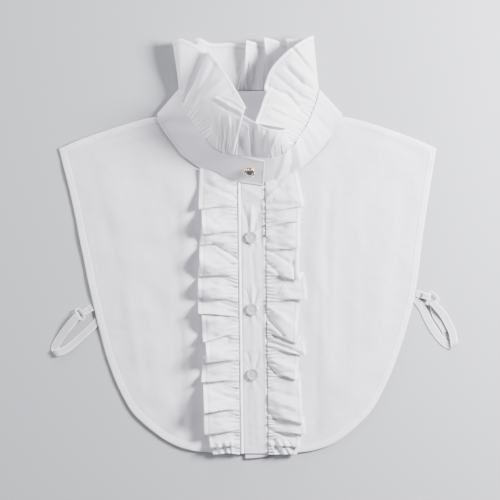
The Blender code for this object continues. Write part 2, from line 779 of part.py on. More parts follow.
def neck_button(collection, rim_look, dome_look):
    """The neck button: a rounded metal rim with a polished dome in it, flat on the band."""
    over_end = len(STAND) - 1
    place = over_end - 0.5
    while stand_point(place, NECK_BUTTON_SHARE).x > NECK_BUTTON_X:
        place -= 0.01
    seat = stand_point(place, NECK_BUTTON_SHARE)
    normal = stand_normal(place)
    wall = BAND_WALL / 2 + SEAM_GAP + NECK_BUTTON_SHANK
    inner = NECK_BUTTON_RADIUS - NECK_RIM_WIRE
    rim_profile = [(0.0, 1.0), (inner - 0.3, 1.0)]
    for i in range(9):
        angle = math.pi * (1.0 - i / 8)
        middle = NECK_BUTTON_RADIUS - NECK_RIM_WIRE / 2
        rim_profile.append((
            middle + NECK_RIM_WIRE / 2 * math.cos(angle),
            1.3 + NECK_RIM_WIRE / 2 * math.sin(angle),
        ))
    rim_profile += [(NECK_BUTTON_RADIUS - 0.3, 0.2), (NECK_BUTTON_RADIUS - 1.0, 0.0), (0.0, 0.0)]
    rim = turned("neck_button_rim", rim_profile, seat + normal * wall, normal, collection, rim_look)
    dome_profile = []
    for i in range(9):
        angle = math.pi / 2 * (1.0 - i / 8)
        dome_profile.append((DOME_RADIUS * math.cos(angle), DOME_HEIGHT * math.sin(angle)))
    dome_profile[0] = (0.0, DOME_HEIGHT)
    dome_profile.append((0.0, 0.0))
    dome_seat = seat + normal * (wall + 1.0 + SEAM_GAP)
    dome = turned("neck_button_dome", dome_profile, dome_seat, normal, collection, dome_look)
    return rim, dome


def strap(name, route, width, collection, look):
    """A flat elastic along a route, lying across the direction that each row gives."""
    columns = (len(route) - 1) * STRAP_STEPS

    def point(u, v):
        x, y, z, across = through(route, u * (len(route) - 1))
        angle = math.radians(across)
        reach = (v - 0.5) * width
        return x + math.cos(angle) * reach, y + math.sin(angle) * reach, z

    return cloth(name, columns, 1, point, ELASTIC_WALL, collection, look)


def build():
    for old in list(bpy.data.objects):
        bpy.data.objects.remove(old, do_unlink=True)
    collection = bpy.data.collections.new("ruffled_collar")
    bpy.context.scene.collection.children.link(collection)
    cotton = material("white_cotton", (0.86, 0.86, 0.89), 0.85)
    trim = material("white_trim", (0.88, 0.88, 0.90), 0.8)
    elastic = material("white_elastic", (0.82, 0.82, 0.85), 0.7)
    plastic = material("clear_plastic", (0.85, 0.86, 0.88), 0.2, transmission=0.5)
    coated = material("white_coated_wire", (0.9, 0.9, 0.92), 0.3)
    gold = material("gold_metal", (0.83, 0.62, 0.32), 0.25, metallic=1.0)
    steel = material("polished_metal", (0.55, 0.54, 0.55), 0.12, metallic=1.0)

    back(collection, cotton)
    front(-1, UNDER_LEFT - 0.4, collection, cotton)
    front(1, UNDER_RIGHT + 0.4, collection, cotton)
    under_placket(collection, cotton)
    placket(collection, cotton)
    stand(collection, cotton)
    frill(collection, trim)
    left_seam = PLACKET_LEFT - RUFFLE_SEAM_GAP
    right_seam = PLACKET_RIGHT + RUFFLE_SEAM_GAP
    ruffle("ruffle_left", LEFT_FOLDS, LEFT_TOP, -1, left_seam, collection, trim)
    ruffle("ruffle_right", RIGHT_FOLDS, RIGHT_TOP, 1, right_seam, collection, trim)
    for i, y in enumerate(BUTTON_HEIGHTS):
        shirt_button(f"button_{i + 1}", y, collection, plastic)
    neck_button(collection, gold, steel)
    strap("strap_tab_left", LEFT_TAB, TAB_WIDTH, collection, elastic)
    strap("strap_left", LEFT_STRAP, STRAP_WIDTH, collection, elastic)
    strap("strap_tab_right", RIGHT_TAB, TAB_WIDTH, collection, elastic)
    strap("strap_right", RIGHT_STRAP, STRAP_WIDTH, collection, elastic)
    ring("strap_ring_left", LEFT_RING, RING_LEVEL, RING_WIRE, collection, coated)
    ring("strap_ring_right", RIGHT_RING, RING_LEVEL, RING_WIRE, collection, coated)


build()
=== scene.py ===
"""The looks of a white ruffled bib collar that lies flat, seen from straight above. Lengths in the
tables are millimetres. +Y runs from the hem to the collar and +Z up off the surface."""

import math

import bmesh
import bpy
from mathutils import Matrix, Vector, noise
from mathutils.kdtree import KDTree


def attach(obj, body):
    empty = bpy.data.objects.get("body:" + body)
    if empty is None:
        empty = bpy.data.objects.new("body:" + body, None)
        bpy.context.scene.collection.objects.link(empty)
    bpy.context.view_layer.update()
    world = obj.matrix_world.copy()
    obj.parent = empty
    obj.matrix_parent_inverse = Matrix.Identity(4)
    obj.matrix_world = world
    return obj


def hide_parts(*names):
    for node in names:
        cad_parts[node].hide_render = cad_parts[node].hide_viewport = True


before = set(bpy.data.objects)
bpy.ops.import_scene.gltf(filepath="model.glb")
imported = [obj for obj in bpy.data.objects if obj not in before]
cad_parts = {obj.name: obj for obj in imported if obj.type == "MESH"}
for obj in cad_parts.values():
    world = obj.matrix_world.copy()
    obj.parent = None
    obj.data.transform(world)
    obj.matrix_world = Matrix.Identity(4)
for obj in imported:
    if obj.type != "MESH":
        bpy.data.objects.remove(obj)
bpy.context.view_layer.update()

# The back is one flat panel of cotton poplin. The fronts lie on it, so only the part inside the
# neck opening shows. Its outline is the fronts' outline drawn in a little.
MM = 0.001
CLOTH = 0.5
BACK_INSET = 4.0
BACK_NECK_DROP = 9.0
BACK_NECK_SIDE = 84.0
BACK_NECK_TOP = 127.0
BACK_NECK_STEPS = 24
BACK_MIDDLE = -40.0
EDGE_STEPS = 8
BACK_EDGE_STEPS = 40
BACK_SHOULDER_STEPS = 8
OUTER_EDGE = [  # y, half width, middle
    (-195.6, 0.0, 2.9),
    (-194.6, 38.0, 2.9),
    (-191.2, 62.5, 2.6),
    (-182.4, 83.0, 2.2),
    (-163.2, 107.0, 1.4),
    (-144.0, 121.4, 1.4),
    (-105.6, 138.2, 1.9),
    (-48.0, 154.2, 3.0),
    (9.6, 164.2, 1.0),
    (48.0, 170.9, 0.0),
    (97.4, 181.0, -2.2),
]
SHOULDER_EDGE = [  # half width, y
    (181.0, 97.4),
    (161.8, 105.8),
    (134.5, 115.6),
    (105.0, 124.6),
    (87.6, 128.2),
]


def mix(low, high, share):
    return low + (high - low) * share


def through(rows, place):
    """Values on a smooth curve through a table's rows, at a place counted in rows."""
    last = len(rows) - 1
    place = min(max(place, 0.0), float(last))
    start = min(int(place), last - 1)
    share = place - start
    square = share * share
    cube = square * share
    weights = (
        2 * square - cube - share,
        3 * cube - 5 * square + 2,
        share + 4 * square - 3 * cube,
        cube - square,
    )
    near = (rows[max(start - 1, 0)], rows[start], rows[start + 1], rows[min(start + 2, last)])
    return [sum(w * row[i] for w, row in zip(weights, near)) / 2 for i in range(len(rows[0]))]


def measured(rows):
    """A function that gives a table's values at a share of the length of its edge."""
    points = [through(rows, i / EDGE_STEPS) for i in range((len(rows) - 1) * EDGE_STEPS + 1)]
    lengths = [0.0]
    for a, b in zip(points, points[1:]):
        lengths.append(lengths[-1] + math.dist(a[:2], b[:2]))

    def at(share):
        wanted = min(max(share, 0.0), 1.0) * lengths[-1]
        i = 0
        while i < len(points) - 2 and lengths[i + 1] < wanted:
            i += 1
        part = (wanted - lengths[i]) / max(lengths[i + 1] - lengths[i], 1e-9)
        return [mix(a, b, part) for a, b in zip(points[i], points[i + 1])]

    return at


outer_at = measured(OUTER_EDGE)
shoulder_at = measured(SHOULDER_EDGE)


def outer_point(side, share):
    y, half, middle = outer_at(share)
    return middle + side * half, y


def shoulder_point(side, share):
    half, y = shoulder_at(share)
    return side * half + mix(OUTER_EDGE[-1][2], 0.0, share), y


def set_inputs(node, values):
    for name, value in values.items():
        node.inputs[name].default_value = value
    return node


def new_look(name, values):
    """A new material, with its shader's inputs set."""
    made = bpy.data.materials.new(name)
    made.use_nodes = True
    set_inputs(made.node_tree.nodes["Principled BSDF"], values)
    return made


def tree_of(look):
    """A material's nodes, what links them, and its shader."""
    nodes = look.node_tree.nodes
    return nodes, look.node_tree.links.new, nodes["Principled BSDF"]


def grain_waves(nodes, link, directions, space, distortion, detail):
    """Ridges across a piece's grain map, one thread space apart, in each direction."""
    grain = nodes.new("ShaderNodeUVMap")
    grain.uv_map = "grain"
    waves = []
    for direction in directions:
        wave = nodes.new("ShaderNodeTexWave")
        wave.bands_direction = direction
        scale = 2 * math.pi / (20 * space * MM)
        set_inputs(wave, {"Scale": scale, "Distortion": distortion, "Detail": detail})
        link(grain.outputs["UV"], wave.inputs["Vector"])
        waves.append(wave)
    return waves


def colour_mix(nodes, link, share, low, high):
    """A colour between two fixed colours, or from another node's colour to a fixed one."""
    made = nodes.new("ShaderNodeMix")
    made.data_type = "RGBA"
    made.inputs["B"].default_value = (*high, 1.0)
    if isinstance(low, tuple):
        made.inputs["A"].default_value = (*low, 1.0)
    else:
        link(low, made.inputs["A"])
    link(share, made.inputs["Factor"])
    return made.outputs["Result"]


def cotton(name, colour, double, thread, weave, crinkle, sheen, roughness=0.85):
    """Woven cotton: threads along the grain map, small crinkles, a slight change of tone, and the
    whiter look of hems and folds, where the cloth is doubled. The same hem mask dips along hem stitch
    rows, painted shade of their grooves."""
    made = new_look(name, {
        "Roughness": roughness,
        "Sheen Weight": sheen,
        "Sheen Roughness": 0.4,
        "Specular IOR Level": 0.3,
    })
    nodes, link, shader = tree_of(made)
    over = nodes.new("ShaderNodeMath")
    over.operation = "MULTIPLY"
    for i, wave in enumerate(grain_waves(nodes, link, "XY", thread, 0.6, 1.0)):
        link(wave.outputs["Fac"], over.inputs[i])
    woven = set_inputs(nodes.new("ShaderNodeBump"), {"Strength": weave, "Distance": thread * MM * 0.3})
    link(over.outputs[0], woven.inputs["Height"])
    soft = nodes.new("ShaderNodeTexNoise")
    set_inputs(soft, {"Scale": 70.0, "Detail": 4.0, "Roughness": 0.55})
    link(nodes.new("ShaderNodeTexCoord").outputs["Object"], soft.inputs["Vector"])
    crinkled = set_inputs(nodes.new("ShaderNodeBump"), {"Strength": crinkle, "Distance": 0.002})
    link(soft.outputs["Fac"], crinkled.inputs["Height"])
    link(woven.outputs["Normal"], crinkled.inputs["Normal"])
    link(crinkled.outputs["Normal"], shader.inputs["Normal"])
    tone = colour_mix(nodes, link, soft.outputs["Fac"], tuple(c * 0.97 for c in colour), colour)
    # The hem mask: whiter where the cloth is doubled, and dipping along hem stitch rows as painted
    # shade of their grooves.
    hem = nodes.new("ShaderNodeAttribute")
    hem.attribute_name = "hem"
    link(colour_mix(nodes, link, hem.outputs["Fac"], tone, double), shader.inputs["Base Color"])
    return made


def given_look(obj, look):
    """The object, with the look as its only material."""
    obj.data.materials.clear()
    obj.data.materials.append(look)
    return obj


def placed(name, data):
    """A new object of a mesh, a curve, a lamp or a camera, put in the scene."""
    obj = bpy.data.objects.new(name, data)
    bpy.context.scene.collection.objects.link(obj)
    return obj


def shaped_mesh(shaped):
    """The mesh that an object's modifiers or its bevel give it."""
    bpy.context.view_layer.update()
    return bpy.data.meshes.new_from_object(shaped.evaluated_get(bpy.context.evaluated_depsgraph_get()))


def plain_mesh(name, shaped, look, spin=None):
    """A plain mesh of an object with its modifiers or bevel, its place put into its points."""
    made = shaped_mesh(shaped)
    made.transform(spin @ shaped.matrix_world if spin else shaped.matrix_world)
    made.name = name
    bpy.data.objects.remove(shaped)
    return given_look(placed(name, made), look)


def curve_along(name, line, closed, **settings):
    """A curve through a line of points in millimetres."""
    curve = bpy.data.curves.new(name, "CURVE")
    for setting, value in settings.items():
        setattr(curve, setting, value)
    run = curve.splines.new("POLY")
    run.points.add(len(line) - 1)
    for spot, place in zip(run.points, line):
        spot.co = (*[c * MM for c in place], 1.0)
    run.use_cyclic_u = closed
    return placed(name, curve)


poplin = cotton(
    "poplin", colour=(0.71, 0.69, 0.757), double=(0.80, 0.782, 0.845),
    thread=0.42, weave=0.35, crinkle=0.2, sheen=0.15,
)

back_outline = []
for side in (1, -1):
    edge = [outer_point(side, i / BACK_EDGE_STEPS) for i in range(1, BACK_EDGE_STEPS + 1)]
    for i in range(BACK_SHOULDER_STEPS):
        edge.append(shoulder_point(side, (i + 1) / BACK_SHOULDER_STEPS))
    drawn_in = []
    for x, y in edge:
        reach = math.hypot(x, y - BACK_MIDDLE)
        scale = (reach - BACK_INSET) / reach
        drawn_in.append((x * scale, BACK_MIDDLE + (y - BACK_MIDDLE) * scale))
    if side < 0:
        drawn_in.reverse()
    back_outline += drawn_in
    if side > 0:
        for i in range(1, BACK_NECK_STEPS):
            x = mix(BACK_NECK_SIDE, -BACK_NECK_SIDE, i / BACK_NECK_STEPS)
            dip = 1.0 - (x / BACK_NECK_SIDE) ** 2
            back_outline.append((x, BACK_NECK_TOP - BACK_NECK_DROP * dip))
flat_outline = [(x, y, 0.0) for x, y in back_outline]
back_cut = curve_along(
    "back_cut", flat_outline, True, dimensions="2D", fill_mode="BOTH", extrude=CLOTH / 2 * MM
)
back_cut.location.z = CLOTH / 2 * MM
back = plain_mesh("back_panel", back_cut, poplin)
grain_map = back.data.uv_layers.new(name="grain")
for loop in back.data.loops:
    grain_map.data[loop.index].uv = back.data.vertices[loop.vertex_index].co[:2]
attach(back, "root")
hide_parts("back")


# The two fronts are single poplin panels. Each has a narrow hem turned under along its armhole,
# its bottom curve and its shoulder, held by one row of topstitching. They lie in soft swells.
BACK_THICKNESS = 1.0
SEAM_GAP = 0.3
WALL = 1.0
FRONT_LEVEL = BACK_THICKNESS + SEAM_GAP + WALL / 2
UNDER_LEFT = -8.3
UNDER_RIGHT = 14.2
FRONT_GAP = 0.4
LEAN_TOP = 0.5
LEAN_BOTTOM = 3.6
LEAN_FROM = 66.0
LEAN_TO = -196.0
HEM_WIDTH = 6.8
HEM_RISE = 0.3
HEM_ROUNDING = 0.35
STITCH_DIP = 0.45
NECK_SEAM_DIP = 0.45
PRESSED_LOW = -0.5
FRONT_COLUMNS = 190
FRONT_ROWS = 90
NECK_EDGE = [  # half width, y
    (0.0, 64.4),
    (16.5, 67.2),
    (34.0, 72.4),
    (52.0, 82.0),
    (67.3, 95.8),
    (80.4, 112.6),
    (87.6, 128.2),
]
SWELLS = [  # x, y, half length across, half length along, height, turn in degrees
    (-62.0, 20.0, 9.0, 46.0, 1.5, 4.0),
    (-66.0, -22.0, 10.0, 30.0, 1.2, -8.0),
    (-60.0, -104.0, 9.0, 34.0, 1.6, 6.0),
    (-60.0, -158.0, 10.0, 26.0, 1.5, -6.0),
    (-128.0, 40.0, 14.0, 70.0, 1.3, 12.0),
    (-112.0, -70.0, 13.0, 60.0, 1.2, 8.0),
    (66.0, 6.0, 10.0, 60.0, 1.6, -4.0),
    (72.0, -96.0, 11.0, 62.0, 1.4, 3.0),
    (112.0, 70.0, 14.0, 44.0, 1.5, -24.0),
    (128.0, -30.0, 14.0, 72.0, 1.3, -9.0),
    (96.0, -140.0, 14.0, 40.0, 1.2, -20.0),
]
FRONT_CREASES = [  # from x, y, to x, y, width, height
    (-70.0, 34.0, -68.0, 4.0, 5.0, -1.1),
    (-70.0, -16.0, -67.0, -44.0, 5.0, -1.1),
    (-70.0, -80.0, -66.0, -116.0, 6.0, -1.4),
    (-70.0, -138.0, -64.0, -170.0, 6.0, -1.4),
    (-96.0, -60.0, -88.0, -140.0, 8.0, 0.9),
    (76.0, 50.0, 72.0, 0.0, 4.0, -0.7),
    (75.0, -10.0, 74.0, -80.0, 4.0, -0.8),
    (-150.0, 70.0, -120.0, -40.0, 6.0, -0.5),
    (-120.0, -40.0, -104.0, -130.0, 5.0, 0.45),
    (-84.0, 60.0, -72.0, -40.0, 5.0, -0.45),
    (-70.0, -60.0, -62.0, -170.0, 4.5, -0.5),
    (-140.0, 100.0, -96.0, 112.0, 4.0, 0.3),
    (84.0, 62.0, 76.0, -60.0, 5.0, 0.45),
    (66.0, -40.0, 64.0, -170.0, 4.0, -0.5),
    (150.0, 60.0, 132.0, -90.0, 6.0, -0.45),
    (104.0, 20.0, 98.0, -120.0, 6.0, 0.4),
    (116.0, 112.0, 160.0, 92.0, 4.0, -0.35),
]

neck_at = measured(NECK_EDGE)


def neck_point(side, share):
    half, y = neck_at(share)
    return side * half, y


def lean(y):
    """Sideways shift of the centre strip at a height."""
    share = (LEAN_FROM - y) / (LEAN_FROM - LEAN_TO)
    return mix(LEAN_TOP, LEAN_BOTTOM, min(max(share, 0.0), 1.0))


def swell(x, y):
    """Height of the fronts' soft swells over their flat level."""
    height = 0.0
    for middle_x, middle_y, across, along, rise, turn in SWELLS:
        angle = math.radians(turn)
        dx = x - middle_x
        dy = y - middle_y
        a = (dx * math.cos(angle) + dy * math.sin(angle)) / across
        b = (dy * math.cos(angle) - dx * math.sin(angle)) / along
        height += rise * math.exp(-a * a - b * b)
    return height


def creased(creases, x, y):
    """Height that a table of soft troughs and ridges gives a point."""
    height = 0.0
    for x0, y0, x1, y1, width, rise in creases:
        dx = x1 - x0
        dy = y1 - y0
        length = math.hypot(dx, dy)
        along = ((x - x0) * dx + (y - y0) * dy) / length
        across = ((x - x0) * dy - (y - y0) * dx) / length
        outside = max(-along, along - length, 0.0) / (width * 1.5)
        height += rise * math.exp(-((across / width) ** 2) - outside * outside)
    return height


def hump(distance, half):
    """1 at no distance, and all but gone at two half widths."""
    return math.exp(-((distance / half) ** 2))


def short_of(distance, soft):
    """1 short of an edge and 0 past it, for a distance past it."""
    return 0.5 - 0.5 * math.tanh(distance / soft)


def wander(*place):
    """Smooth noise, from about -1 to 1, at a place of three numbers."""
    return noise.noise(Vector(place))


def crumple(x, y, size, height, seed):
    """Small uneven rise and fall of pressed cloth."""
    return height * wander(x / size, y / size, seed)


def spaced(count, bunch=0.0):
    """Even steps from 0 to 1, bunched up towards both ends."""
    even = [i / count for i in range(count + 1)]
    return [t - bunch * math.sin(2 * math.pi * t) / (2 * math.pi) for t in even]


def sheet_of_cloth(name, us, vs, point, wall, look, doubled=None):
    """A sheet laid on point(u, v), given in millimetres, with its grain map and a thin wall.
    doubled(u, v) says where a hem doubles the cloth, which the sheer cotton shows as a whiter edge; on
    hems it also dips along the stitch row, painted shade of the stitch groove."""
    mesh = bpy.data.meshes.new(name)
    grid = bmesh.new()
    bmesh.ops.create_grid(grid, x_segments=len(us) - 1, y_segments=len(vs) - 1, size=0.5)
    places = {}
    rows = {}
    for vertex in grid.verts:
        i = round((vertex.co.x + 0.5) * (len(us) - 1))
        j = round((vertex.co.y + 0.5) * (len(vs) - 1))
        places[vertex] = (i, j)
        vertex.co = Vector(point(us[i], vs[j])) * MM
        rows[i, j] = vertex.co
    middle = len(us) // 2
    along = [0.0]
    for i in range(1, len(us)):
        along.append(along[-1] + (rows[i, len(vs) - 1] - rows[i - 1, len(vs) - 1]).length)
    across = [0.0]
    for j in range(1, len(vs)):
        across.append(across[-1] + (rows[middle, j] - rows[middle, j - 1]).length)
    layer = grid.loops.layers.uv.new("grain")
    for face in grid.faces:
        for loop in face.loops:
            i, j = places[loop.vert]
            loop[layer].uv = (along[i], across[j])
    shares = [places[vertex] for vertex in grid.verts]
    grid.to_mesh(mesh)
    grid.free()
    if doubled:
        hem = mesh.attributes.new("hem", "FLOAT", "POINT")
        hem.data.foreach_set("value", [doubled(us[i], vs[j]) for i, j in shares])
    mesh.shade_smooth()
    obj = given_look(placed(name, mesh), look)
    shell = obj.modifiers.new("wall", "SOLIDIFY")
    shell.thickness = wall * MM
    shell.offset = 0.0
    return obj


def share_at(edge, side, x):
    """Share of an edge's length at which it has come out to an x."""
    low = 0.0
    high = 1.0
    for _ in range(40):
        middle = (low + high) / 2
        if edge(side, middle)[0] * side < x * side:
            low = middle
        else:
            high = middle
    return high


def front_patch(side, inner):
    """The flat place (x, y) of a share along and down one front, from its four edges."""
    hem_start = share_at(outer_point, side, inner + lean(OUTER_EDGE[0][0]))
    neck_start = share_at(neck_point, side, inner + lean(NECK_EDGE[0][1]))
    corners = (
        neck_point(side, neck_start),
        neck_point(side, 1.0),
        outer_point(side, hem_start),
        outer_point(side, 1.0),
    )
    kept = {}

    def edge(which, share):
        key = (which, round(share, 6))
        if key not in kept:
            if which == "neck":
                kept[key] = neck_point(side, mix(neck_start, 1.0, share))
            elif which == "hem":
                kept[key] = outer_point(side, mix(hem_start, 1.0, share))
            elif which == "shoulder":
                kept[key] = shoulder_point(side, 1.0 - share)
            else:
                y = mix(corners[0][1], corners[2][1], share)
                kept[key] = (inner + lean(y), y)
        return kept[key]

    def at(u, v):
        place = []
        for axis in (0, 1):
            ends = mix(edge("neck", u)[axis], edge("hem", u)[axis], v)
            sides = mix(edge("centre", v)[axis], edge("shoulder", v)[axis], u)
            square = mix(
                mix(corners[0][axis], corners[1][axis], u),
                mix(corners[2][axis], corners[3][axis], u),
                v,
            )
            place.append(ends + sides - square)
        return place

    return at


def distance_from(*edges):
    """A function that gives how far a place is from edges on both sides of the centre line."""
    line = KDTree(2 * sum(count for point, count in edges))
    for side in (1, -1):
        for point, count in edges:
            for i in range(count):
                line.insert((*point(side, i / (count - 1)), 0.0), 0)
    line.balance()
    return lambda x, y: line.find((x, y, 0.0))[2]


hem_gap = distance_from((outer_point, 400), (shoulder_point, 100))
neck_gap = distance_from((neck_point, 120))


def hem_rise(x, y):
    """The turned hem's extra thickness, and the row of topstitching sunk in it."""
    gap = hem_gap(x, y)
    turned = HEM_RISE * short_of(gap - HEM_WIDTH - 0.5, 0.5)
    return turned - HEM_ROUNDING * hump(gap, 0.8) - STITCH_DIP * hump(gap - HEM_WIDTH, 0.55)


def front_doubled_and_stitch_shade(x, y):
    """1 in the turned hem, 0 in the single cloth, and darker along its stitches: painted shade of the
    stitch groove.
    """
    past = hem_gap(x, y) - HEM_WIDTH
    return max(0.0, short_of(past, 0.4) - hump(past, 0.6))


def front_height(x, y):
    soft = (
        swell(x, y)
        + creased(FRONT_CREASES, x, y)
        + crumple(x, y, size=26.0, height=0.9, seed=1.0)
        + crumple(x, y, size=9.0, height=0.2, seed=4.0)
        - NECK_SEAM_DIP * hump(neck_gap(x, y) - 2.2, 1.1)
    )
    return FRONT_LEVEL + max(soft, PRESSED_LOW) + hem_rise(x, y)


for name, side, strip_edge in (("front_left", -1, UNDER_LEFT), ("front_right", 1, UNDER_RIGHT)):
    patch = front_patch(side, strip_edge + side * FRONT_GAP)

    def on_front(u, v):
        return patch(1.0 - u if side < 0 else u, v)

    def front_point(u, v):
        x, y = on_front(u, v)
        return x, y, front_height(x, y)

    def front_hem(u, v):
        return front_doubled_and_stitch_shade(*on_front(u, v))

    rows = [1.0 - (1.0 - t) ** 1.7 for t in spaced(FRONT_ROWS)]
    panel = sheet_of_cloth(
        name + "_panel", spaced(FRONT_COLUMNS), rows, front_point, CLOTH, poplin, front_hem
    )
    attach(panel, "root")
    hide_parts(name)


# Topstitching is white cotton thread, one short stitch after another, sunk a little in the cloth. Its
# colour here is grey, painted shade of the sunk stitches. The same small tree lays every row: on the
# hems here, and on the collar and ruffles further on.
STITCH = 1.7
STITCH_SPACE = 0.75
THREAD = 0.38
STITCH_LIFT = 0.05
EDGE_ROW = (0.1, 0.985)
SHOULDER_ROW = (0.04, 0.94)


def stitch_tree():
    """Puts a small rounded stitch at each step along a line."""
    tree = bpy.data.node_groups.new("stitch_row", "GeometryNodeTree")
    tree.interface.new_socket("Geometry", in_out="INPUT", socket_type="NodeSocketGeometry")
    for name in ("Stitch length", "Space", "Thread"):
        tree.interface.new_socket(name, in_out="INPUT", socket_type="NodeSocketFloat")
    tree.interface.new_socket("Material", in_out="INPUT", socket_type="NodeSocketMaterial")
    tree.interface.new_socket("Geometry", in_out="OUTPUT", socket_type="NodeSocketGeometry")
    new = tree.nodes.new
    given = new("NodeGroupInput")
    result = new("NodeGroupOutput")
    line = new("GeometryNodeMeshToCurve")
    step = new("ShaderNodeMath")
    step.operation = "ADD"
    along = new("GeometryNodeResampleCurve")
    along.mode = "LENGTH"
    heading = new("GeometryNodeInputTangent")
    turn = new("FunctionNodeAlignRotationToVector")
    turn.axis = "X"
    stitch = set_inputs(new("GeometryNodeMeshIcoSphere"), {"Subdivisions": 1, "Radius": 0.5})
    size = new("ShaderNodeCombineXYZ")
    placing = new("GeometryNodeInstanceOnPoints")
    real = new("GeometryNodeRealizeInstances")
    dressed = new("GeometryNodeSetMaterial")
    for giver, output, taker, entry in (
        (given, "Geometry", line, "Mesh"),
        (given, "Stitch length", step, 0),
        (given, "Space", step, 1),
        (line, "Curve", along, "Curve"),
        (step, 0, along, "Length"),
        (heading, "Tangent", turn, "Vector"),
        (along, "Curve", placing, "Points"),
        (stitch, "Mesh", placing, "Instance"),
        (turn, "Rotation", placing, "Rotation"),
        (given, "Stitch length", size, "X"),
        (given, "Thread", size, "Y"),
        (given, "Thread", size, "Z"),
        (size, "Vector", placing, "Scale"),
        (placing, "Instances", real, "Geometry"),
        (real, "Geometry", dressed, "Geometry"),
        (given, "Material", dressed, "Material"),
        (dressed, "Geometry", result, "Geometry"),
    ):
        tree.links.new(giver.outputs[output], taker.inputs[entry])
    return tree


stitch_rows = stitch_tree()
# The thread colour is grey, not white: painted shade of stitches sunk in the cloth.
thread_painted_shade_grey = (0.70, 0.685, 0.73)
thread_look = cotton(
    "thread", colour=thread_painted_shade_grey, double=thread_painted_shade_grey,
    thread=0.2, weave=0.2, crinkle=0.0, sheen=0.2, roughness=0.6,
)


def sewn(name, lines, stitch=STITCH, space=STITCH_SPACE, thread=THREAD):
    """Rows of stitches along lines of points in millimetres, as one plain mesh."""
    points = []
    edges = []
    for row in lines:
        start = len(points)
        points += [Vector(p) * MM for p in row]
        edges += [(i, i + 1) for i in range(start, len(points) - 1)]
    guide = bpy.data.meshes.new(name + "_line")
    guide.from_pydata(points, edges, [])
    shaped = placed(name + "_line", guide)
    row = shaped.modifiers.new("stitches", "NODES")
    row.node_group = stitch_rows
    sizes = {
        "Stitch length": stitch * MM,
        "Space": space * MM,
        "Thread": thread * MM,
        "Material": thread_look,
    }
    for item in stitch_rows.interface.items_tree:
        if item.in_out == "INPUT" and item.name in sizes:
            row[item.identifier] = sizes[item.name]
    made = plain_mesh(name, shaped, thread_look)
    made.data.shade_smooth()
    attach(made, "root")
    return made


def inward(edge, gap):
    """An outline of (x, y) points moved in by a gap to the left of its direction."""
    moved = []
    for i, (x, y) in enumerate(edge):
        ahead = edge[min(i + 1, len(edge) - 1)]
        behind = edge[max(i - 1, 0)]
        dx = ahead[0] - behind[0]
        dy = ahead[1] - behind[1]
        size = math.hypot(dx, dy)
        moved.append((x - dy / size * gap, y + dx / size * gap))
    return moved


hem_rows = []
for side in (1, -1):
    edge_run = [outer_point(side, mix(*EDGE_ROW, share)) for share in spaced(260)]
    shoulder_run = [shoulder_point(side, mix(*SHOULDER_ROW, share)) for share in spaced(90)]
    for run in (edge_run, shoulder_run):
        run = inward(run, side * HEM_WIDTH)
        hem_rows.append([(x, y, front_height(x, y) + CLOTH / 2 + STITCH_LIFT) for x, y in run])
sewn("hem_stitches", hem_rows)


# The opening is closed by two strips. The lower one, of doubled poplin, carries the buttons and
# shows below the hem. The upper one lies on it, with a rounded fold down its left edge.
TRIM_LEVEL = FRONT_LEVEL + WALL + SEAM_GAP
UNDER_TOP = 63.0
UNDER_BOTTOM = -200.4
UNDER_SLANT = 2.6
PLACKET_LEFT = -12.5
PLACKET_RIGHT = 13.5
PLACKET_WIDTH = PLACKET_RIGHT - PLACKET_LEFT
PLACKET_TOP_LEFT = 65.8
PLACKET_TOP_RIGHT = 61.4
PLACKET_BOTTOM = -195.4
PLACKET_FOLD = 1.1
PLACKET_GROOVE = 0.45
PLACKET_RIGHT_FOLD = 0.3
PUCKER_REACH = 26.0
PUCKER_HEIGHT = 0.55
STRIP = 0.8
BUTTON_HEIGHTS = [12.0, -57.0, -119.4]
BUTTON_X = 0.1
PLACKET_CREASES = [  # from x, y, to x, y, width, height
    (-9.0, 48.0, 8.0, 38.0, 4.0, -0.8),
    (-8.0, 42.0, -1.5, 20.0, 2.4, -1.0),
    (0.5, 40.0, 0.0, 20.0, 1.8, 1.0),
    (8.0, 40.0, 3.0, 20.0, 2.4, -0.9),
    (8.0, 30.0, 9.0, 4.0, 2.6, -0.6),
    (-4.0, 58.0, 10.0, 50.0, 3.0, 0.7),
    (0.0, 2.0, 3.0, -34.0, 2.2, -0.6),
    (-5.0, -40.0, -1.5, -50.0, 1.6, -0.7),
    (5.0, -40.0, 2.5, -50.0, 1.6, -0.7),
    (0.5, -36.0, 0.5, -50.0, 1.4, 0.7),
    (-5.0, -100.0, -1.0, -112.0, 1.8, -0.7),
    (6.0, -100.0, 3.0, -112.0, 1.8, -0.7),
    (-7.0, -4.0, -8.0, -50.0, 2.0, 0.25),
    (2.0, -70.0, 0.0, -104.0, 2.4, 0.35),
    (9.0, -72.0, 10.0, -108.0, 2.0, -0.3),
    (2.6, -130.0, 5.0, -180.0, 3.0, 0.35),
    (-6.0, -134.0, -5.0, -186.0, 2.4, -0.3),
]


def under_point(u, v):
    y = mix(UNDER_BOTTOM + UNDER_SLANT * u * u, UNDER_TOP, v)
    x = mix(UNDER_LEFT, UNDER_RIGHT, u) + lean(y)
    return x, y, FRONT_LEVEL + crumple(x, y, size=12.0, height=0.2, seed=9.0)


under = sheet_of_cloth("under_strip", spaced(24), spaced(90, 0.4), under_point, STRIP, poplin)
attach(under, "root")
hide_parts("under_placket")


def puckers(x, y):
    """Small creases that each button pulls into the strip above and below it."""
    height = 0.0
    for middle_y in BUTTON_HEIGHTS:
        dx = x - BUTTON_X - lean(middle_y)
        dy = y - middle_y
        reach = math.hypot(dx, dy)
        if reach < PUCKER_REACH:
            angle = math.atan2(dx, abs(dy))
            spokes = math.cos(angle * 7.0 + (1.1 if dy > 0 else 0.2))
            height += PUCKER_HEIGHT * spokes * (hump(reach - 8.0, 7.0) * hump(angle, 0.75))
    return height


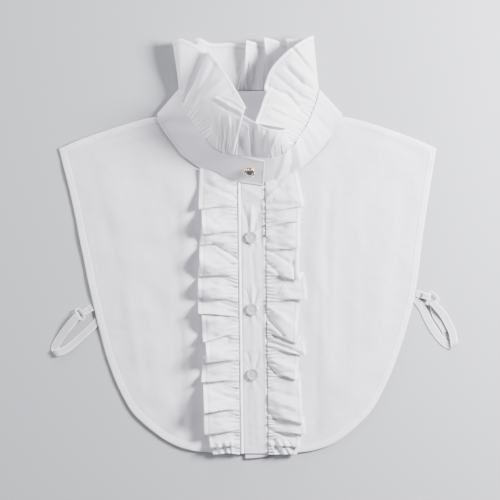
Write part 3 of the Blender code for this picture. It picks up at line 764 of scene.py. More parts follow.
def placket_height(u, x, y):
    left = u * PLACKET_WIDTH
    right = (1.0 - u) * PLACKET_WIDTH
    fold = PLACKET_FOLD * hump(left - 1.0, 1.0)
    groove = -PLACKET_GROOVE * hump(left - 2.9, 0.6)
    right_fold = PLACKET_RIGHT_FOLD * hump(right - 1.4, 1.2)
    soft = creased(PLACKET_CREASES, x - lean(y), y) + puckers(x, y)
    soft += crumple(x, y, size=7.0, height=0.22, seed=12.0)
    inside = min(1.0, left / 4.0) * min(1.0, right / 3.0)
    return TRIM_LEVEL + fold + groove + right_fold + soft * inside


def placket_point(u, v):
    y = mix(PLACKET_BOTTOM, mix(PLACKET_TOP_LEFT, PLACKET_TOP_RIGHT, u), v)
    x = mix(PLACKET_LEFT, PLACKET_RIGHT, u) + lean(y)
    return x, y, placket_height(u, x, y)


def placket_folds(u, v):
    """1 on the rounded folds of both long edges."""
    left = short_of(u * PLACKET_WIDTH - 2.4, 0.3)
    return left + short_of((1.0 - u) * PLACKET_WIDTH - 2.0, 0.3)


placket = sheet_of_cloth(
    "top_strip", spaced(70), spaced(430), placket_point, STRIP, poplin, placket_folds
)
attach(placket, "root")
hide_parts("placket")


def on_placket(x, y, lift):
    u = (x - lean(y) - PLACKET_LEFT) / PLACKET_WIDTH
    return x, y, placket_height(u, x, y) + STRIP / 2 + lift


PLACKET_ROWS = (2.7, 24.2)
ROW_BOTTOM = -194.0
ROW_TOP = 58.0
ROW_LIFT = 0.02
strip_rows = []
for gap in PLACKET_ROWS:
    run = [mix(ROW_BOTTOM, ROW_TOP, share) for share in spaced(200)]
    strip_rows.append([on_placket(PLACKET_LEFT + gap + lean(y), y, ROW_LIFT) for y in run])
sewn("placket_stitches", strip_rows)


# Buttonholes are worked in satin stitch: a close row of threads laid across a slit, seen as a
# small raised bar above and below each button.
HOLE_LENGTH = 15.0
HOLE_WIDTH = 2.2
SATIN = 0.42
SATIN_LIFT = 0.12
SLIT = 0.25
satin_bars = []
for middle_y in BUTTON_HEIGHTS:
    centre = BUTTON_X + lean(middle_y)
    count = round(HOLE_LENGTH / SATIN)
    for i in range(count + 1):
        y = middle_y + mix(-HOLE_LENGTH, HOLE_LENGTH, i / count) / 2
        for edge_x in (-HOLE_WIDTH / 2, SLIT):
            ends = (centre + edge_x, centre + edge_x + HOLE_WIDTH / 2 - SLIT)
            satin_bars.append([on_placket(x, y, SATIN_LIFT) for x in ends])
sewn("buttonholes", satin_bars, stitch=0.95, space=-0.2, thread=SATIN)


# A gathered ruffle runs down each side of the upper strip. It is a strip of fine voile, pleated up
# small at the seam. Its free edge has a narrow stitched hem and falls in folds over each other.
FOLD_STEPS = 22
RUFFLE_STEPS = 44
RUFFLE = 0.38
RUFFLE_HEM = 4.0
RUFFLE_SEAM_GAP = 0.8
RUFFLE_BOTTOM = -196.0
RUFFLE_BOTTOM_DRAW = 3.0
RUFFLE_END_HEIGHT = 2.0
RUFFLE_LOW = 0.3
RUFFLE_FULL_HEIGHT = 9.0
RIGHT_FOLD_SHARE = 0.7
RUFFLE_PUFF = 3.2
RUFFLE_SEAM_LIFT = 0.5
TROUGH_SEAM_SHARE = 0.4
TROUGH_REACH_SHARE = 0.6
RUFFLE_SWAY = 1.6
LONG_RIPPLE = 2.2
SHORT_RIPPLE = 1.0
RUFFLE_HEM_RISE = 0.15
RUFFLE_STITCH_DIP = 0.4
SINGLE_TONE = 0.56
GATHER_SPACE = 3.6
GATHER_HEIGHT = 3.4
GATHER_REACH = 0.21
CREASE_SHARE = 1.7
LOWEST = -0.8
LEFT_TOP = (78.6, 65.4, 35.2, 2.0)  # hem y, seam y, reach, height
RIGHT_TOP = (75.6, 64.6, 30.4, 2.0)
LEFT_FOLDS = [  # crest y at the hem, crest y at the seam, reach, height, tuck
    (40.3, 48.5, 36.8, 8.5, 5.0),
    (15.8, 20.4, 33.5, 8.0, 5.5),
    (5.3, 9.4, 35.6, 6.5, 3.5),
    (-24.0, -21.0, 36.8, 9.0, 6.0),
    (-44.6, -45.0, 38.4, 8.0, 5.0),
    (-60.5, -62.0, 38.2, 7.0, 4.5),
    (-87.4, -76.0, 34.0, 8.5, 6.0),
    (-107.5, -101.5, 31.0, 8.0, 5.0),
    (-126.2, -121.5, 36.0, 7.5, 5.0),
    (-155.5, -150.0, 33.8, 9.0, 6.0),
    (-176.6, -170.4, 33.8, 8.0, 5.0),
    (-189.0, -186.0, 28.5, 6.5, 3.5),
]
RIGHT_FOLDS = [  # crest y at the hem, crest y at the seam, reach, height, tuck
    (43.2, 38.5, 36.8, 8.0, 4.5),
    (28.0, 25.0, 33.0, 6.5, 4.5),
    (3.0, 2.0, 32.6, 8.0, 5.0),
    (-27.8, -20.5, 31.5, 9.0, 6.0),
    (-47.5, -44.0, 38.6, 8.0, 4.5),
    (-87.8, -76.0, 28.8, 9.5, 5.0),
    (-100.8, -92.0, 37.2, 6.5, 2.6),
    (-124.2, -113.0, 28.2, 8.5, 5.5),
    (-165.0, -156.0, 33.2, 9.0, 5.0),
    (-176.6, -172.0, 36.0, 6.5, 2.5),
    (-188.6, -186.0, 30.0, 6.5, 3.5),
]


def fold_path(folds, top):
    """Rows of the ruffle's hem: each fold's crest, and the trough tucked back under it."""
    rows = [top]
    for i, (crest, seam, reach, height, tuck) in enumerate(folds):
        next_seam = RUFFLE_BOTTOM
        next_reach = reach
        if i + 1 < len(folds):
            next_seam = folds[i + 1][1]
            next_reach = folds[i + 1][2]
        rows.append((crest, seam, reach, height))
        trough_seam = mix(seam, next_seam, TROUGH_SEAM_SHARE)
        trough_reach = mix(reach, next_reach, TROUGH_REACH_SHARE)
        rows.append((crest + tuck, trough_seam, trough_reach, RUFFLE_LOW))
    last_reach = folds[-1][2] - RUFFLE_BOTTOM_DRAW
    rows.append((RUFFLE_BOTTOM, RUFFLE_BOTTOM, last_reach, RUFFLE_END_HEIGHT))
    return rows


def gathered(t, v, height, reach, seed):
    """Height of the small gathers that fan out of a seam. t counts gathers, v leaves the seam."""
    t += 1.1 * wander(t * 0.35, seed, 0.0)
    ridge = abs(math.sin(math.pi * t)) ** 0.55 - 0.4
    size = 0.8 + 1.1 * wander(t * 0.7, seed, 5.0)
    length = reach * max(0.4, 1.0 + 1.5 * wander(t * 0.55, seed, 9.0))
    return height * size * ridge * math.exp(-((v / length) ** 1.4))


def sheer_cotton(name, single, double):
    """Voile: light passes through it and between its threads, less where its hem is doubled."""
    made = cotton(name, single, double, thread=0.36, weave=0.3, crinkle=0.26, sheen=0.25)
    nodes, link, shader = tree_of(made)
    surface = shader.outputs["BSDF"]
    glow = nodes.new("ShaderNodeBsdfTranslucent")
    link(shader.inputs["Base Color"].links[0].from_socket, glow.inputs["Color"])
    gaps = nodes.new("ShaderNodeBsdfTransparent")
    for passed, in_single, in_double in ((glow, 0.28, 0.14), (gaps, 0.12, 0.05)):
        share = set_inputs(nodes.new("ShaderNodeMapRange"), {"To Min": in_single, "To Max": in_double})
        link(nodes["Attribute"].outputs["Fac"], share.inputs["Value"])
        mixed = nodes.new("ShaderNodeMixShader")
        link(share.outputs["Result"], mixed.inputs["Fac"])
        link(surface, mixed.inputs[1])
        link(passed.outputs["BSDF"], mixed.inputs[2])
        surface = mixed.outputs["Shader"]
    link(surface, nodes["Material Output"].inputs["Surface"])
    return made


voile = sheer_cotton("voile", single=(0.80, 0.782, 0.835), double=(0.965, 0.95, 0.99))


def turned_hem(edge):
    """Height of a narrow stitched hem at a distance from its edge."""
    past = edge - RUFFLE_HEM
    return RUFFLE_HEM_RISE * short_of(past - 0.3, 0.4) - RUFFLE_STITCH_DIP * hump(past, 0.55)


def in_hem_and_stitch_shade(edge):
    """1 in the doubled hem, less in the single cloth, and darkest along its stitches: painted shade of
    the stitch groove.
    """
    past = edge - RUFFLE_HEM
    return max(0.0, mix(SINGLE_TONE, 1.0, short_of(past, 0.3)) - hump(past, 0.6))


LEFT_FLARES = [  # y, half length, and height that the free edge lifts or sinks there
    (59.0, 14.0, -5.0),
    (25.0, 8.0, 8.0),
    (7.0, 5.0, -5.0),
    (-9.0, 7.0, 6.0),
    (-24.0, 4.5, -5.5),
    (-36.0, 4.5, 4.0),
    (-48.0, 4.5, -5.0),
    (-65.0, 6.0, 6.0),
    (-80.0, 4.5, -5.5),
    (-98.0, 9.0, 10.5),
    (-117.0, 5.0, -6.0),
    (-138.0, 9.0, 7.0),
    (-156.0, 11.0, 9.0),
]
RIGHT_FLARES = [  # y, half length, and height that the free edge lifts or sinks there
    (58.0, 14.0, -3.0),
    (-25.0, 8.0, 2.0),
    (-84.0, 9.0, 2.0),
    (-120.0, 8.0, -3.0),
    (-160.0, 10.0, 1.5),
]
LEFT_CREASES = [  # from x, y, to x, y, width, height
    (-43.0, 64.0, -15.0, 51.0, 2.4, -1.2),
    (-30.0, 53.0, -15.0, 47.5, 1.2, 1.0),
    (-40.0, 56.0, -22.0, 60.0, 2.0, 0.8),
    (-33.0, 28.0, -17.0, 36.0, 1.5, 0.9),
    (-40.0, 30.0, -28.0, 22.0, 2.0, -0.6),
    (-36.0, 14.0, -19.0, 12.0, 3.0, -1.0),
    (-35.5, 6.0, -13.0, -8.0, 1.3, -1.3),
    (-33.0, 1.0, -14.0, -12.0, 1.6, 0.9),
    (-39.0, -21.0, -14.0, -11.5, 1.6, 0.9),
    (-44.0, -8.0, -30.0, -14.0, 3.0, -0.6),
    (-36.0, -33.0, -15.0, -36.0, 1.6, -0.9),
    (-44.0, -38.0, -30.0, -34.0, 2.0, 0.6),
    (-28.0, -51.0, -13.5, -55.0, 1.2, -0.8),
    (-34.0, -75.0, -14.0, -64.0, 3.0, -1.3),
    (-30.0, -80.0, -14.0, -70.0, 1.6, 0.9),
    (-42.0, -70.0, -30.0, -66.0, 2.4, 0.7),
    (-40.0, -96.0, -22.0, -88.0, 2.0, -0.8),
    (-38.0, -113.0, -14.0, -107.0, 1.6, -1.0),
    (-34.0, -118.0, -14.0, -113.0, 1.4, 0.7),
    (-36.0, -136.0, -14.0, -143.0, 1.8, -1.0),
    (-40.0, -144.0, -22.0, -138.0, 1.8, 0.8),
    (-35.0, -162.0, -14.0, -160.0, 1.5, -0.8),
    (-40.0, -182.0, -14.0, -179.0, 1.3, -0.7),
    (-31.0, -186.0, -27.0, -196.0, 1.0, 0.9),
    (-27.0, -186.0, -23.5, -196.0, 1.0, -0.8),
    (-23.5, -185.0, -20.5, -196.0, 1.0, 0.9),
    (-18.0, -184.0, -17.0, -196.0, 1.0, 0.8),
]
RIGHT_CREASES = [  # from x, y, to x, y, width, height
    (16.0, 50.0, 30.0, 62.0, 1.6, 1.1),
    (22.0, 49.0, 34.0, 56.0, 1.4, -0.9),
    (25.0, 51.0, 44.0, 63.0, 1.8, 0.9),
    (18.0, 43.0, 42.0, 44.0, 2.4, -1.0),
    (30.0, 25.0, 44.0, 28.0, 1.4, 0.9),
    (17.0, 30.0, 34.0, 34.0, 1.6, 0.7),
    (20.0, 13.0, 41.0, 23.0, 2.2, 0.9),
    (16.0, 8.0, 43.0, 0.0, 2.6, -1.0),
    (15.0, 1.5, 40.0, -13.5, 1.6, -1.1),
    (41.0, -10.0, 43.0, -27.0, 1.3, -1.2),
    (45.5, -8.0, 47.0, -27.0, 1.3, 0.9),
    (16.0, -12.0, 29.0, -24.0, 1.8, -0.9),
    (33.0, -34.0, 29.0, -41.0, 0.9, 0.6),
    (36.5, -34.0, 33.0, -41.0, 0.9, 0.6),
    (15.0, -53.0, 33.0, -65.0, 1.7, 1.0),
    (15.0, -63.0, 32.0, -82.0, 1.7, -1.4),
    (24.0, -62.0, 44.0, -74.0, 2.6, 0.8),
    (15.0, -86.0, 52.0, -101.0, 1.6, -1.0),
    (20.0, -84.0, 40.0, -92.0, 2.0, 0.8),
    (15.0, -106.0, 24.0, -118.0, 1.6, -1.1),
    (24.0, -118.0, 42.0, -124.0, 1.5, -0.3),
    (22.0, -106.0, 42.0, -114.0, 2.2, 0.8),
    (17.0, -134.0, 46.0, -142.0, 2.2, -0.9),
    (18.0, -142.0, 44.0, -152.0, 2.0, 0.8),
    (16.0, -156.0, 25.0, -163.0, 1.4, -0.9),
    (19.0, -173.0, 48.0, -182.0, 1.5, -0.8),
    (19.0, -184.0, 24.0, -196.0, 1.2, 0.9),
    (23.0, -183.0, 29.0, -196.0, 1.1, -0.8),
    (27.0, -183.0, 33.0, -195.0, 1.1, 0.9),
    (33.0, -184.0, 38.0, -194.0, 1.2, 0.8),
    (37.0, -184.0, 42.0, -192.0, 1.1, -0.6),
]


def fold_place(u, side, rows):
    """Place in a ruffle's fold rows, counted from its top, at a share along its sheet."""
    return (1.0 - u if side > 0 else u) * (len(rows) - 1)


def ruffle_point(rows, creases, flares, side, seam_x, seed):
    def at(u, v):
        place = fold_place(u, side, rows)
        hem_y, seam_y, reach, height = through(rows, place)
        height = max(height, 0.0) * (RIGHT_FOLD_SHARE if side > 0 else 1.0)
        arch = math.sin(math.pi * v)
        ease = v * v * (3.0 - 2.0 * v)
        y = mix(seam_y, hem_y, mix(v, ease, 0.4))
        x = seam_x + lean(y) + side * reach * v
        y += RUFFLE_SWAY * wander(place * 0.9, v * 2.2, seed) * arch
        lift = height * v ** 0.8
        lift += RUFFLE_PUFF * arch * (0.35 + 0.65 * height / RUFFLE_FULL_HEIGHT)
        small = gathered(-seam_y / GATHER_SPACE, v, GATHER_HEIGHT, GATHER_REACH, seed)
        ripple = LONG_RIPPLE * wander(y * 0.1, x * 0.055, seed + 3.0)
        ripple += SHORT_RIPPLE * wander(y * 0.26, x * 0.12, seed + 6.0)
        ripple *= arch ** 0.6
        soft = CREASE_SHARE * creased(creases, x, y) * min(1.0, (1.0 - v) * 5.0)
        lift += sum(rise * hump(y - at_y, half) for at_y, half, rise in flares) * v * v
        lift = max(lift, 0.0)
        level = TRIM_LEVEL + RUFFLE_SEAM_LIFT + swell(x, y)
        relief = max(small + ripple + soft, LOWEST - lift)
        return x, y, level + lift + relief + turned_hem((1.0 - v) * reach)

    return at


def lifted(point, u, v, lift, step=0.001):
    """A place a little above the side of a sheet that its point function faces up."""
    here = Vector(point(u, v))
    along = Vector(point(min(u + step, 1.0), v)) - Vector(point(max(u - step, 0.0), v))
    across = Vector(point(u, min(v + step * 10, 1.0))) - Vector(point(u, max(v - step * 10, 0.0)))
    return here + along.cross(across).normalized() * lift


FINE_STITCHES = {"stitch": 1.5, "space": 0.8, "thread": 0.3}
for name, folds, top, creases, flares, side, edge_x in (
    ("ruffle_left", LEFT_FOLDS, LEFT_TOP, LEFT_CREASES, LEFT_FLARES, -1, PLACKET_LEFT),
    ("ruffle_right", RIGHT_FOLDS, RIGHT_TOP, RIGHT_CREASES, RIGHT_FLARES, 1, PLACKET_RIGHT),
):
    fold_rows = fold_path(folds, top)
    seam_x = edge_x + side * RUFFLE_SEAM_GAP
    at_ruffle = ruffle_point(fold_rows, creases, flares, side, seam_x, 20.0 + side)
    count = (len(fold_rows) - 1) * FOLD_STEPS

    def reach_at(u):
        return through(fold_rows, fold_place(u, side, fold_rows))[2]

    # Whiter where the hem doubles the voile, with painted shade along its stitch row.
    def ruffle_doubled_and_stitch_shade(u, v):
        return in_hem_and_stitch_shade((1.0 - v) * reach_at(u))

    across = spaced(RUFFLE_STEPS, 0.25)
    strip = sheet_of_cloth(
        name + "_strip", spaced(count), across, at_ruffle, RUFFLE, voile, ruffle_doubled_and_stitch_shade
    )
    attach(strip, "root")
    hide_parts(name)
    hem_run = [
        lifted(at_ruffle, u, 1.0 - RUFFLE_HEM / reach_at(u), RUFFLE / 2 + ROW_LIFT)
        for u in spaced(count * 2)
    ]
    rows_on = sewn(name + "_stitches", [hem_run], **FINE_STITCHES)


# The band is a stand collar of doubled poplin, stiffened inside. Its foot is piped where it joins
# the fronts. It folds flat at the back of the neck and its left end laps over the right one.
BAND = 0.95
BAND_HEIGHT = 31.0
LAP_LENGTH = 29.0
LAP_STITCHES = 3.2
LAP_RISE = 0.2
LAP_DIP = 0.25
BAND_TOP_RISE = 0.4
BAND_FOOT_DIP = 0.3
TOP_STITCHES = 0.93
FOOT_STITCHES = 0.085
RIGHT_SIDE = (1.1, 7.0)
LEFT_SIDE = (17.2, 23.85)
BEHIND_NECK = (9.5, 14.8)
BAND_FADES = (8.2, 16.0)
BAND_STITCH_LIFT = BAND / 2 + 0.03
PIPING = 1.0
PIPING_DROP = 0.2
STAND = [  # foot x, foot y, foot z, top x, top y, top z
    (-10.0, 68.3, 3.3, -9.0, 90.8, 24.6),
    (14.0, 65.8, 3.3, 13.6, 87.8, 25.2),
    (33.0, 71.8, 3.3, 27.0, 90.0, 25.4),
    (51.0, 81.4, 3.4, 38.0, 97.4, 24.0),
    (66.6, 96.0, 3.6, 48.0, 110.0, 20.5),
    (79.6, 112.2, 3.8, 57.5, 126.5, 15.0),
    (85.0, 121.8, 4.4, 62.5, 140.0, 11.0),
    (87.2, 127.2, 4.5, 65.4, 149.2, 8.4),
    (87.9, 130.4, 3.2, 66.2, 154.2, 5.8),
    (84.4, 129.6, 2.0, 62.8, 155.4, 3.5),
    (77.0, 125.6, 1.95, 54.5, 155.0, 3.2),
    (50.0, 119.4, 1.95, 36.0, 153.6, 3.2),
    (0.0, 116.6, 1.95, 0.0, 152.6, 3.2),
    (-50.0, 119.4, 1.95, -36.0, 153.2, 3.2),
    (-78.0, 125.6, 1.95, -56.0, 154.6, 3.2),
    (-84.8, 129.6, 2.0, -64.0, 155.4, 3.4),
    (-88.7, 130.4, 3.2, -67.8, 154.4, 5.8),
    (-88.0, 127.2, 4.8, -68.1, 149.0, 8.8),
    (-85.8, 121.8, 4.4, -65.3, 140.0, 11.0),
    (-80.0, 112.4, 3.8, -57.5, 126.0, 15.0),
    (-67.2, 96.2, 3.6, -47.0, 111.8, 20.5),
    (-52.0, 82.4, 3.5, -34.0, 97.6, 24.5),
    (-34.5, 73.2, 3.9, -18.0, 91.6, 26.5),
    (-16.0, 67.4, 4.9, -3.0, 89.4, 27.2),
    (13.2, 62.6, 5.0, 14.2, 85.6, 26.9),
]
STAND_ROWS = len(STAND) - 1
BAND_CREASES = [  # from place, height share, to place, height share, width, height in millimetres
    (1.7, 0.1, 2.5, 0.95, 0.16, 1.3),
    (2.3, 0.05, 3.0, 0.9, 0.12, -1.1),
    (2.9, 0.15, 3.5, 1.0, 0.14, 1.1),
    (3.6, 0.3, 4.0, 1.0, 0.12, -0.9),
    (4.3, 0.3, 4.6, 1.0, 0.14, 0.9),
    (5.0, 0.2, 5.3, 0.8, 0.2, -0.8),
    (18.4, 0.3, 19.4, 0.9, 0.25, -1.1),
    (20.3, 0.2, 21.5, 0.75, 0.3, 1.1),
    (21.4, 0.5, 22.4, 0.9, 0.25, -0.9),
    (22.6, 0.3, 23.4, 0.6, 0.2, 0.6),
]


def stand_point(place, share):
    foot_x, foot_y, foot_z, top_x, top_y, top_z = through(STAND, place)
    return Vector((mix(foot_x, top_x, share), mix(foot_y, top_y, share), mix(foot_z, top_z, share)))


def stand_normal(place):
    """Direction out of the band's outer face."""
    ahead = stand_point(min(place + 0.05, STAND_ROWS), 0.5)
    behind = stand_point(max(place - 0.05, 0), 0.5)
    rise = stand_point(place, 1.0) - stand_point(place, 0.0)
    return (ahead - behind).cross(rise).normalized()


def band_point(u, v):
    place = u * STAND_ROWS
    relief = creased(BAND_CREASES, place, v)
    relief += crumple(place * 16.0, v * 30.0, size=11.0, height=0.3, seed=31.0)
    seam = BAND_TOP_RISE * hump((1.0 - v) * BAND_HEIGHT - 1.2, 1.0)
    seam -= BAND_FOOT_DIP * hump(v * BAND_HEIGHT - 2.4, 0.6)
    lapped = place - (STAND_ROWS - 1)
    end = 0.0
    if lapped > 0.0:
        gap = (1.0 - lapped) * LAP_LENGTH - LAP_STITCHES
        end = LAP_RISE * short_of(gap, 0.4) - LAP_DIP * hump(gap, 0.5)
    turning = max(hump(place - fade, 1.0) for fade in BAND_FADES)
    return stand_point(place, v) + stand_normal(place) * (relief + seam + end) * (1.0 - turning)


band_columns = spaced(STAND_ROWS * 16)
band = sheet_of_cloth("neck_band", band_columns, spaced(30, 0.4), band_point, BAND, poplin)
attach(band, "root")
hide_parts("collar_stand")


def piped(name, line, radius, look, closed=False, sides=3):
    """A round cord or wire along a line of points in millimetres, its open ends closed."""
    shaped = curve_along(
        name + "_path", line, closed,
        dimensions="3D", bevel_depth=radius * MM, bevel_resolution=sides, use_fill_caps=not closed,
    )
    made = plain_mesh(name, shaped, look)
    made.data.shade_smooth()
    return made


for name, first, last in (("piping_right", 1.05, 7.2), ("piping_left", 17.1, 23.95)):
    foot_line = []
    for share in spaced(160):
        at_foot = band_point(mix(first, last, share) / STAND_ROWS, 0.0)
        foot_line.append(at_foot - Vector((0, 0, PIPING_DROP)))
    piping = piped(name, foot_line, PIPING, poplin)
    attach(piping, "root")


def band_line(ends, share, count, lift=BAND_STITCH_LIFT):
    return [lifted(band_point, mix(*ends, t) / STAND_ROWS, share, lift) for t in spaced(count)]


end_share = 1.0 - LAP_STITCHES / LAP_LENGTH / STAND_ROWS
sewn("band_stitches", [
    band_line(RIGHT_SIDE, TOP_STITCHES, 160),
    band_line(LEFT_SIDE, TOP_STITCHES, 180),
    band_line(LEFT_SIDE, FOOT_STITCHES, 180),
    band_line(RIGHT_SIDE, FOOT_STITCHES, 160),
    band_line(BEHIND_NECK, TOP_STITCHES, 140, -BAND_STITCH_LIFT),
    [lifted(band_point, end_share, mix(0.08, 0.93, t), BAND_STITCH_LIFT) for t in spaced(30)],
])


# The frill round the neck opening is one strip of voile, sewn to the band's top edge. It is drawn
# up in small gathers, then falls in wide flutes that lie over each other at the front. Its hem is
# stitched.
FRILL_WALL = 0.4
FRILL_STEPS = 14
FRILL_ROOT_GAP = 0.9
SMOOTH_PLACES = (-0.2, 8.1, 16.1, 23.6)
TURN_FADE = 0.9
FRILL_GATHER_SPACE = 3.1
STAND_STEPS = 10
FRILL = [  # stand row, hem x, hem y, hem z, bow
    (0.15, -9.5, 131.0, 44.5, 4.5),
    (0.75, 2.0, 123.6, 49.5, 7.0),
    (1.4, 14.5, 117.0, 53.5, 9.0),
    (2.2, 26.0, 114.6, 54.0, 9.0),
    (2.75, 33.2, 115.0, 51.5, 7.0),
    (2.95, 33.4, 116.2, 48.4, 5.0),
    (3.15, 24.0, 118.4, 45.6, 4.0),
    (3.35, 12.0, 120.4, 43.6, 3.0),
    (3.5, 6.2, 121.4, 41.8, 3.0),
    (3.7, 5.6, 124.0, 39.2, 3.0),
    (4.1, 9.6, 134.0, 38.8, 4.0),
    (4.6, 14.0, 147.0, 38.4, 4.0),
    (5.0, 19.4, 155.6, 36.8, 3.0),
    (5.15, 20.2, 155.4, 33.6, 2.0),
    (5.35, 18.0, 151.0, 30.4, 1.0),
    (5.5, 14.8, 150.4, 27.4, 1.0),
    (5.75, 14.0, 157.8, 26.4, 2.5),
    (6.1, 20.0, 173.2, 28.5, 4.5),
    (6.6, 33.0, 188.0, 28.5, 6.0),
    (7.1, 47.0, 198.6, 25.0, 5.0),
    (7.8, 59.5, 205.4, 18.0, 3.0),
    (8.6, 59.0, 203.6, 12.5, 1.5),
    (9.6, 48.5, 202.6, 10.5, 1.0),
    (10.3, 35.0, 202.6, 11.5, 2.0),
    (10.5, 34.8, 201.4, 8.0, 0.5),
    (10.75, 37.5, 199.6, 5.0, 0.0),
    (10.95, 32.5, 198.8, 4.2, 0.0),
    (11.25, 22.0, 202.0, 9.0, 1.5),
    (11.5, 13.8, 203.6, 11.2, 2.5),
    (11.6, 14.0, 202.0, 8.0, 1.0),
    (11.75, 16.6, 199.4, 5.2, 0.0),
    (11.87, 11.0, 198.0, 4.2, 0.0),
    (12.0, 3.0, 199.6, 8.5, 1.5),
    (12.15, -3.2, 201.2, 11.2, 2.5),
    (12.25, -3.0, 199.8, 8.0, 1.0),
    (12.38, -0.5, 197.4, 5.0, 0.0),
    (12.55, -7.0, 197.0, 3.8, 0.0),
    (12.9, -20.0, 198.8, 3.8, 0.0),
    (13.3, -37.0, 198.4, 6.5, 1.0),
    (13.8, -49.0, 203.2, 11.5, 2.0),
    (14.4, -60.0, 200.6, 8.0, 1.0),
    (15.3, -72.6, 199.6, 10.0, 1.5),
    (16.3, -73.6, 200.2, 14.0, 2.5),
    (17.0, -66.4, 202.8, 18.0, 3.0),
    (17.5, -50.7, 196.2, 17.5, 3.0),
    (17.85, -38.5, 189.8, 15.6, 1.0),
    (18.0, -36.4, 188.8, 18.6, 0.5),
    (18.15, -38.6, 190.2, 22.4, 2.0),
    (18.35, -39.0, 190.0, 25.6, 4.0),
    (18.8, -28.0, 176.0, 30.0, 6.0),
    (19.3, -17.7, 160.6, 35.0, 6.0),
    (19.8, -8.0, 144.0, 38.0, 4.0),
    (20.05, -4.4, 137.0, 40.4, 2.5),
    (20.2, -5.0, 135.8, 44.2, 3.0),
    (20.4, -14.0, 139.0, 47.0, 4.5),
    (20.65, -28.0, 143.2, 48.2, 4.0),
    (20.8, -35.8, 144.8, 50.4, 6.0),
    (20.95, -36.4, 145.6, 53.6, 7.5),
    (21.3, -26.0, 147.4, 56.5, 9.0),
    (21.65, -15.5, 144.2, 59.0, 9.0),
    (22.0, -5.6, 136.2, 60.6, 9.0),
    (22.15, -6.2, 134.4, 57.2, 7.5),
    (22.4, -11.4, 129.8, 53.0, 3.0),
    (22.7, -11.8, 125.6, 47.6, 2.0),
    (23.2, -2.0, 119.4, 52.4, 4.5),
]
FRILL_ROWS = len(FRILL) - 1
FRILL_GATHERS = [  # stand row, height, reach in millimetres
    (0.0, 0.8, 8.0),
    (1.2, 1.4, 14.0),
    (2.6, 2.0, 11.0),
    (3.8, 2.4, 9.0),
    (5.4, 2.4, 9.0),
    (7.0, 1.8, 8.0),
    (8.4, 1.4, 8.0),
    (12.0, 3.2, 16.0),
    (15.5, 0.9, 7.0),
    (17.4, 1.6, 10.0),
    (19.6, 1.6, 14.0),
    (21.4, 2.0, 20.0),
    (23.4, 2.2, 24.0),
]
FRILL_CREASES = [  # first row, last row, from x, y, to x, y, width, height
    (46.5, 51.5, -35.5, 176.6, -51.8, 144.0, 3.0, -1.5),
    (46.5, 51.5, -26.9, 163.0, -45.0, 146.0, 3.0, 1.2),
    (46.5, 51.5, -20.0, 150.0, -40.0, 136.0, 3.0, -1.2),
    (43.5, 46.5, -50.0, 184.0, -62.0, 150.0, 3.0, 1.2),
    (43.5, 46.5, -44.0, 186.0, -57.0, 152.0, 2.4, -0.5),
    (56.0, 60.6, -37.4, 144.5, -23.0, 135.4, 1.3, -1.1),
    (56.0, 60.6, -23.0, 135.4, -10.6, 128.2, 1.3, -1.1),
    (56.0, 60.6, -35.5, 146.9, -22.0, 139.2, 1.5, 1.3),
    (56.0, 60.6, -22.0, 139.2, -9.6, 132.5, 1.5, 1.3),
    (56.0, 60.8, -17.3, 91.2, -20.0, 124.8, 1.3, 1.2),
    (56.0, 61.5, -8.6, 90.2, -2.9, 117.0, 1.3, 1.3),
    (56.0, 60.8, -26.9, 94.0, -35.5, 120.0, 1.6, 1.1),
    (56.0, 61.5, -12.5, 90.2, -12.5, 122.9, 1.5, -1.2),
    (56.0, 60.8, -22.0, 93.0, -26.9, 124.8, 1.5, -1.1),
    (0.0, 4.4, 17.3, 89.3, 25.9, 110.4, 1.6, 1.1),
    (0.0, 4.4, 5.8, 88.3, 7.7, 117.0, 1.5, 1.0),
    (0.0, 4.4, 11.5, 88.3, 15.4, 113.3, 1.8, -1.2),
    (0.0, 4.4, 23.0, 91.0, 33.0, 106.0, 1.6, -1.0),
    (8.5, 12.5, 21.7, 133.8, 32.6, 128.9, 1.1, -1.1),
    (8.5, 12.5, 32.6, 128.9, 48.7, 121.5, 1.1, -1.1),
    (8.5, 12.5, 22.5, 136.5, 34.0, 131.5, 1.3, 0.9),
    (8.5, 12.5, 20.0, 128.0, 42.0, 118.0, 2.4, 0.9),
    (8.5, 13.0, 14.0, 141.0, 34.0, 138.0, 3.0, -0.9),
    (11.5, 16.5, 19.2, 155.5, 36.5, 149.3, 1.8, -2.4),
    (11.5, 16.5, 36.5, 149.3, 46.6, 135.8, 1.8, -2.4),
    (11.5, 16.5, 46.6, 135.8, 56.6, 125.8, 1.8, -2.0),
    (11.5, 15.5, 22.0, 148.8, 38.4, 132.5, 3.0, 1.2),
    (15.0, 20.0, 39.9, 193.9, 61.9, 167.0, 1.5, -1.8),
    (15.0, 20.0, 44.2, 194.9, 64.3, 170.9, 1.8, 1.0),
    (14.5, 19.5, 36.3, 173.2, 48.5, 160.9, 2.2, -2.2),
    (14.5, 19.5, 48.5, 160.9, 61.9, 152.4, 2.2, -2.2),
    (14.5, 19.5, 39.4, 178.6, 51.8, 167.0, 2.5, 1.2),
    (14.5, 19.5, 51.8, 167.0, 63.4, 159.4, 2.5, 1.2),
    (14.5, 18.5, 25.0, 167.0, 48.0, 147.8, 2.2, -1.3),
    (14.5, 18.5, 48.0, 147.8, 60.5, 141.1, 2.2, -1.3),
    (30.0, 33.6, -6.7, 194.0, -8.6, 156.0, 3.4, 4.0),
    (24.5, 28.6, 11.5, 198.0, 8.0, 160.0, 3.4, 3.0),
    (24.0, 32.0, 4.0, 186.0, 3.0, 154.0, 1.6, -2.6),
    (22.0, 28.0, 20.0, 180.0, 14.0, 154.0, 1.6, -2.6),
    (24.0, 34.0, -2.0, 178.0, -3.0, 154.0, 1.4, -2.2),
    (28.0, 34.0, -10.0, 182.0, -9.0, 154.0, 1.6, -2.4),
]

stand_lengths = [0.0]
for i in range(STAND_ROWS * STAND_STEPS):
    gap = stand_point((i + 1) / STAND_STEPS, 1.0) - stand_point(i / STAND_STEPS, 1.0)
    stand_lengths.append(stand_lengths[-1] + gap.length)


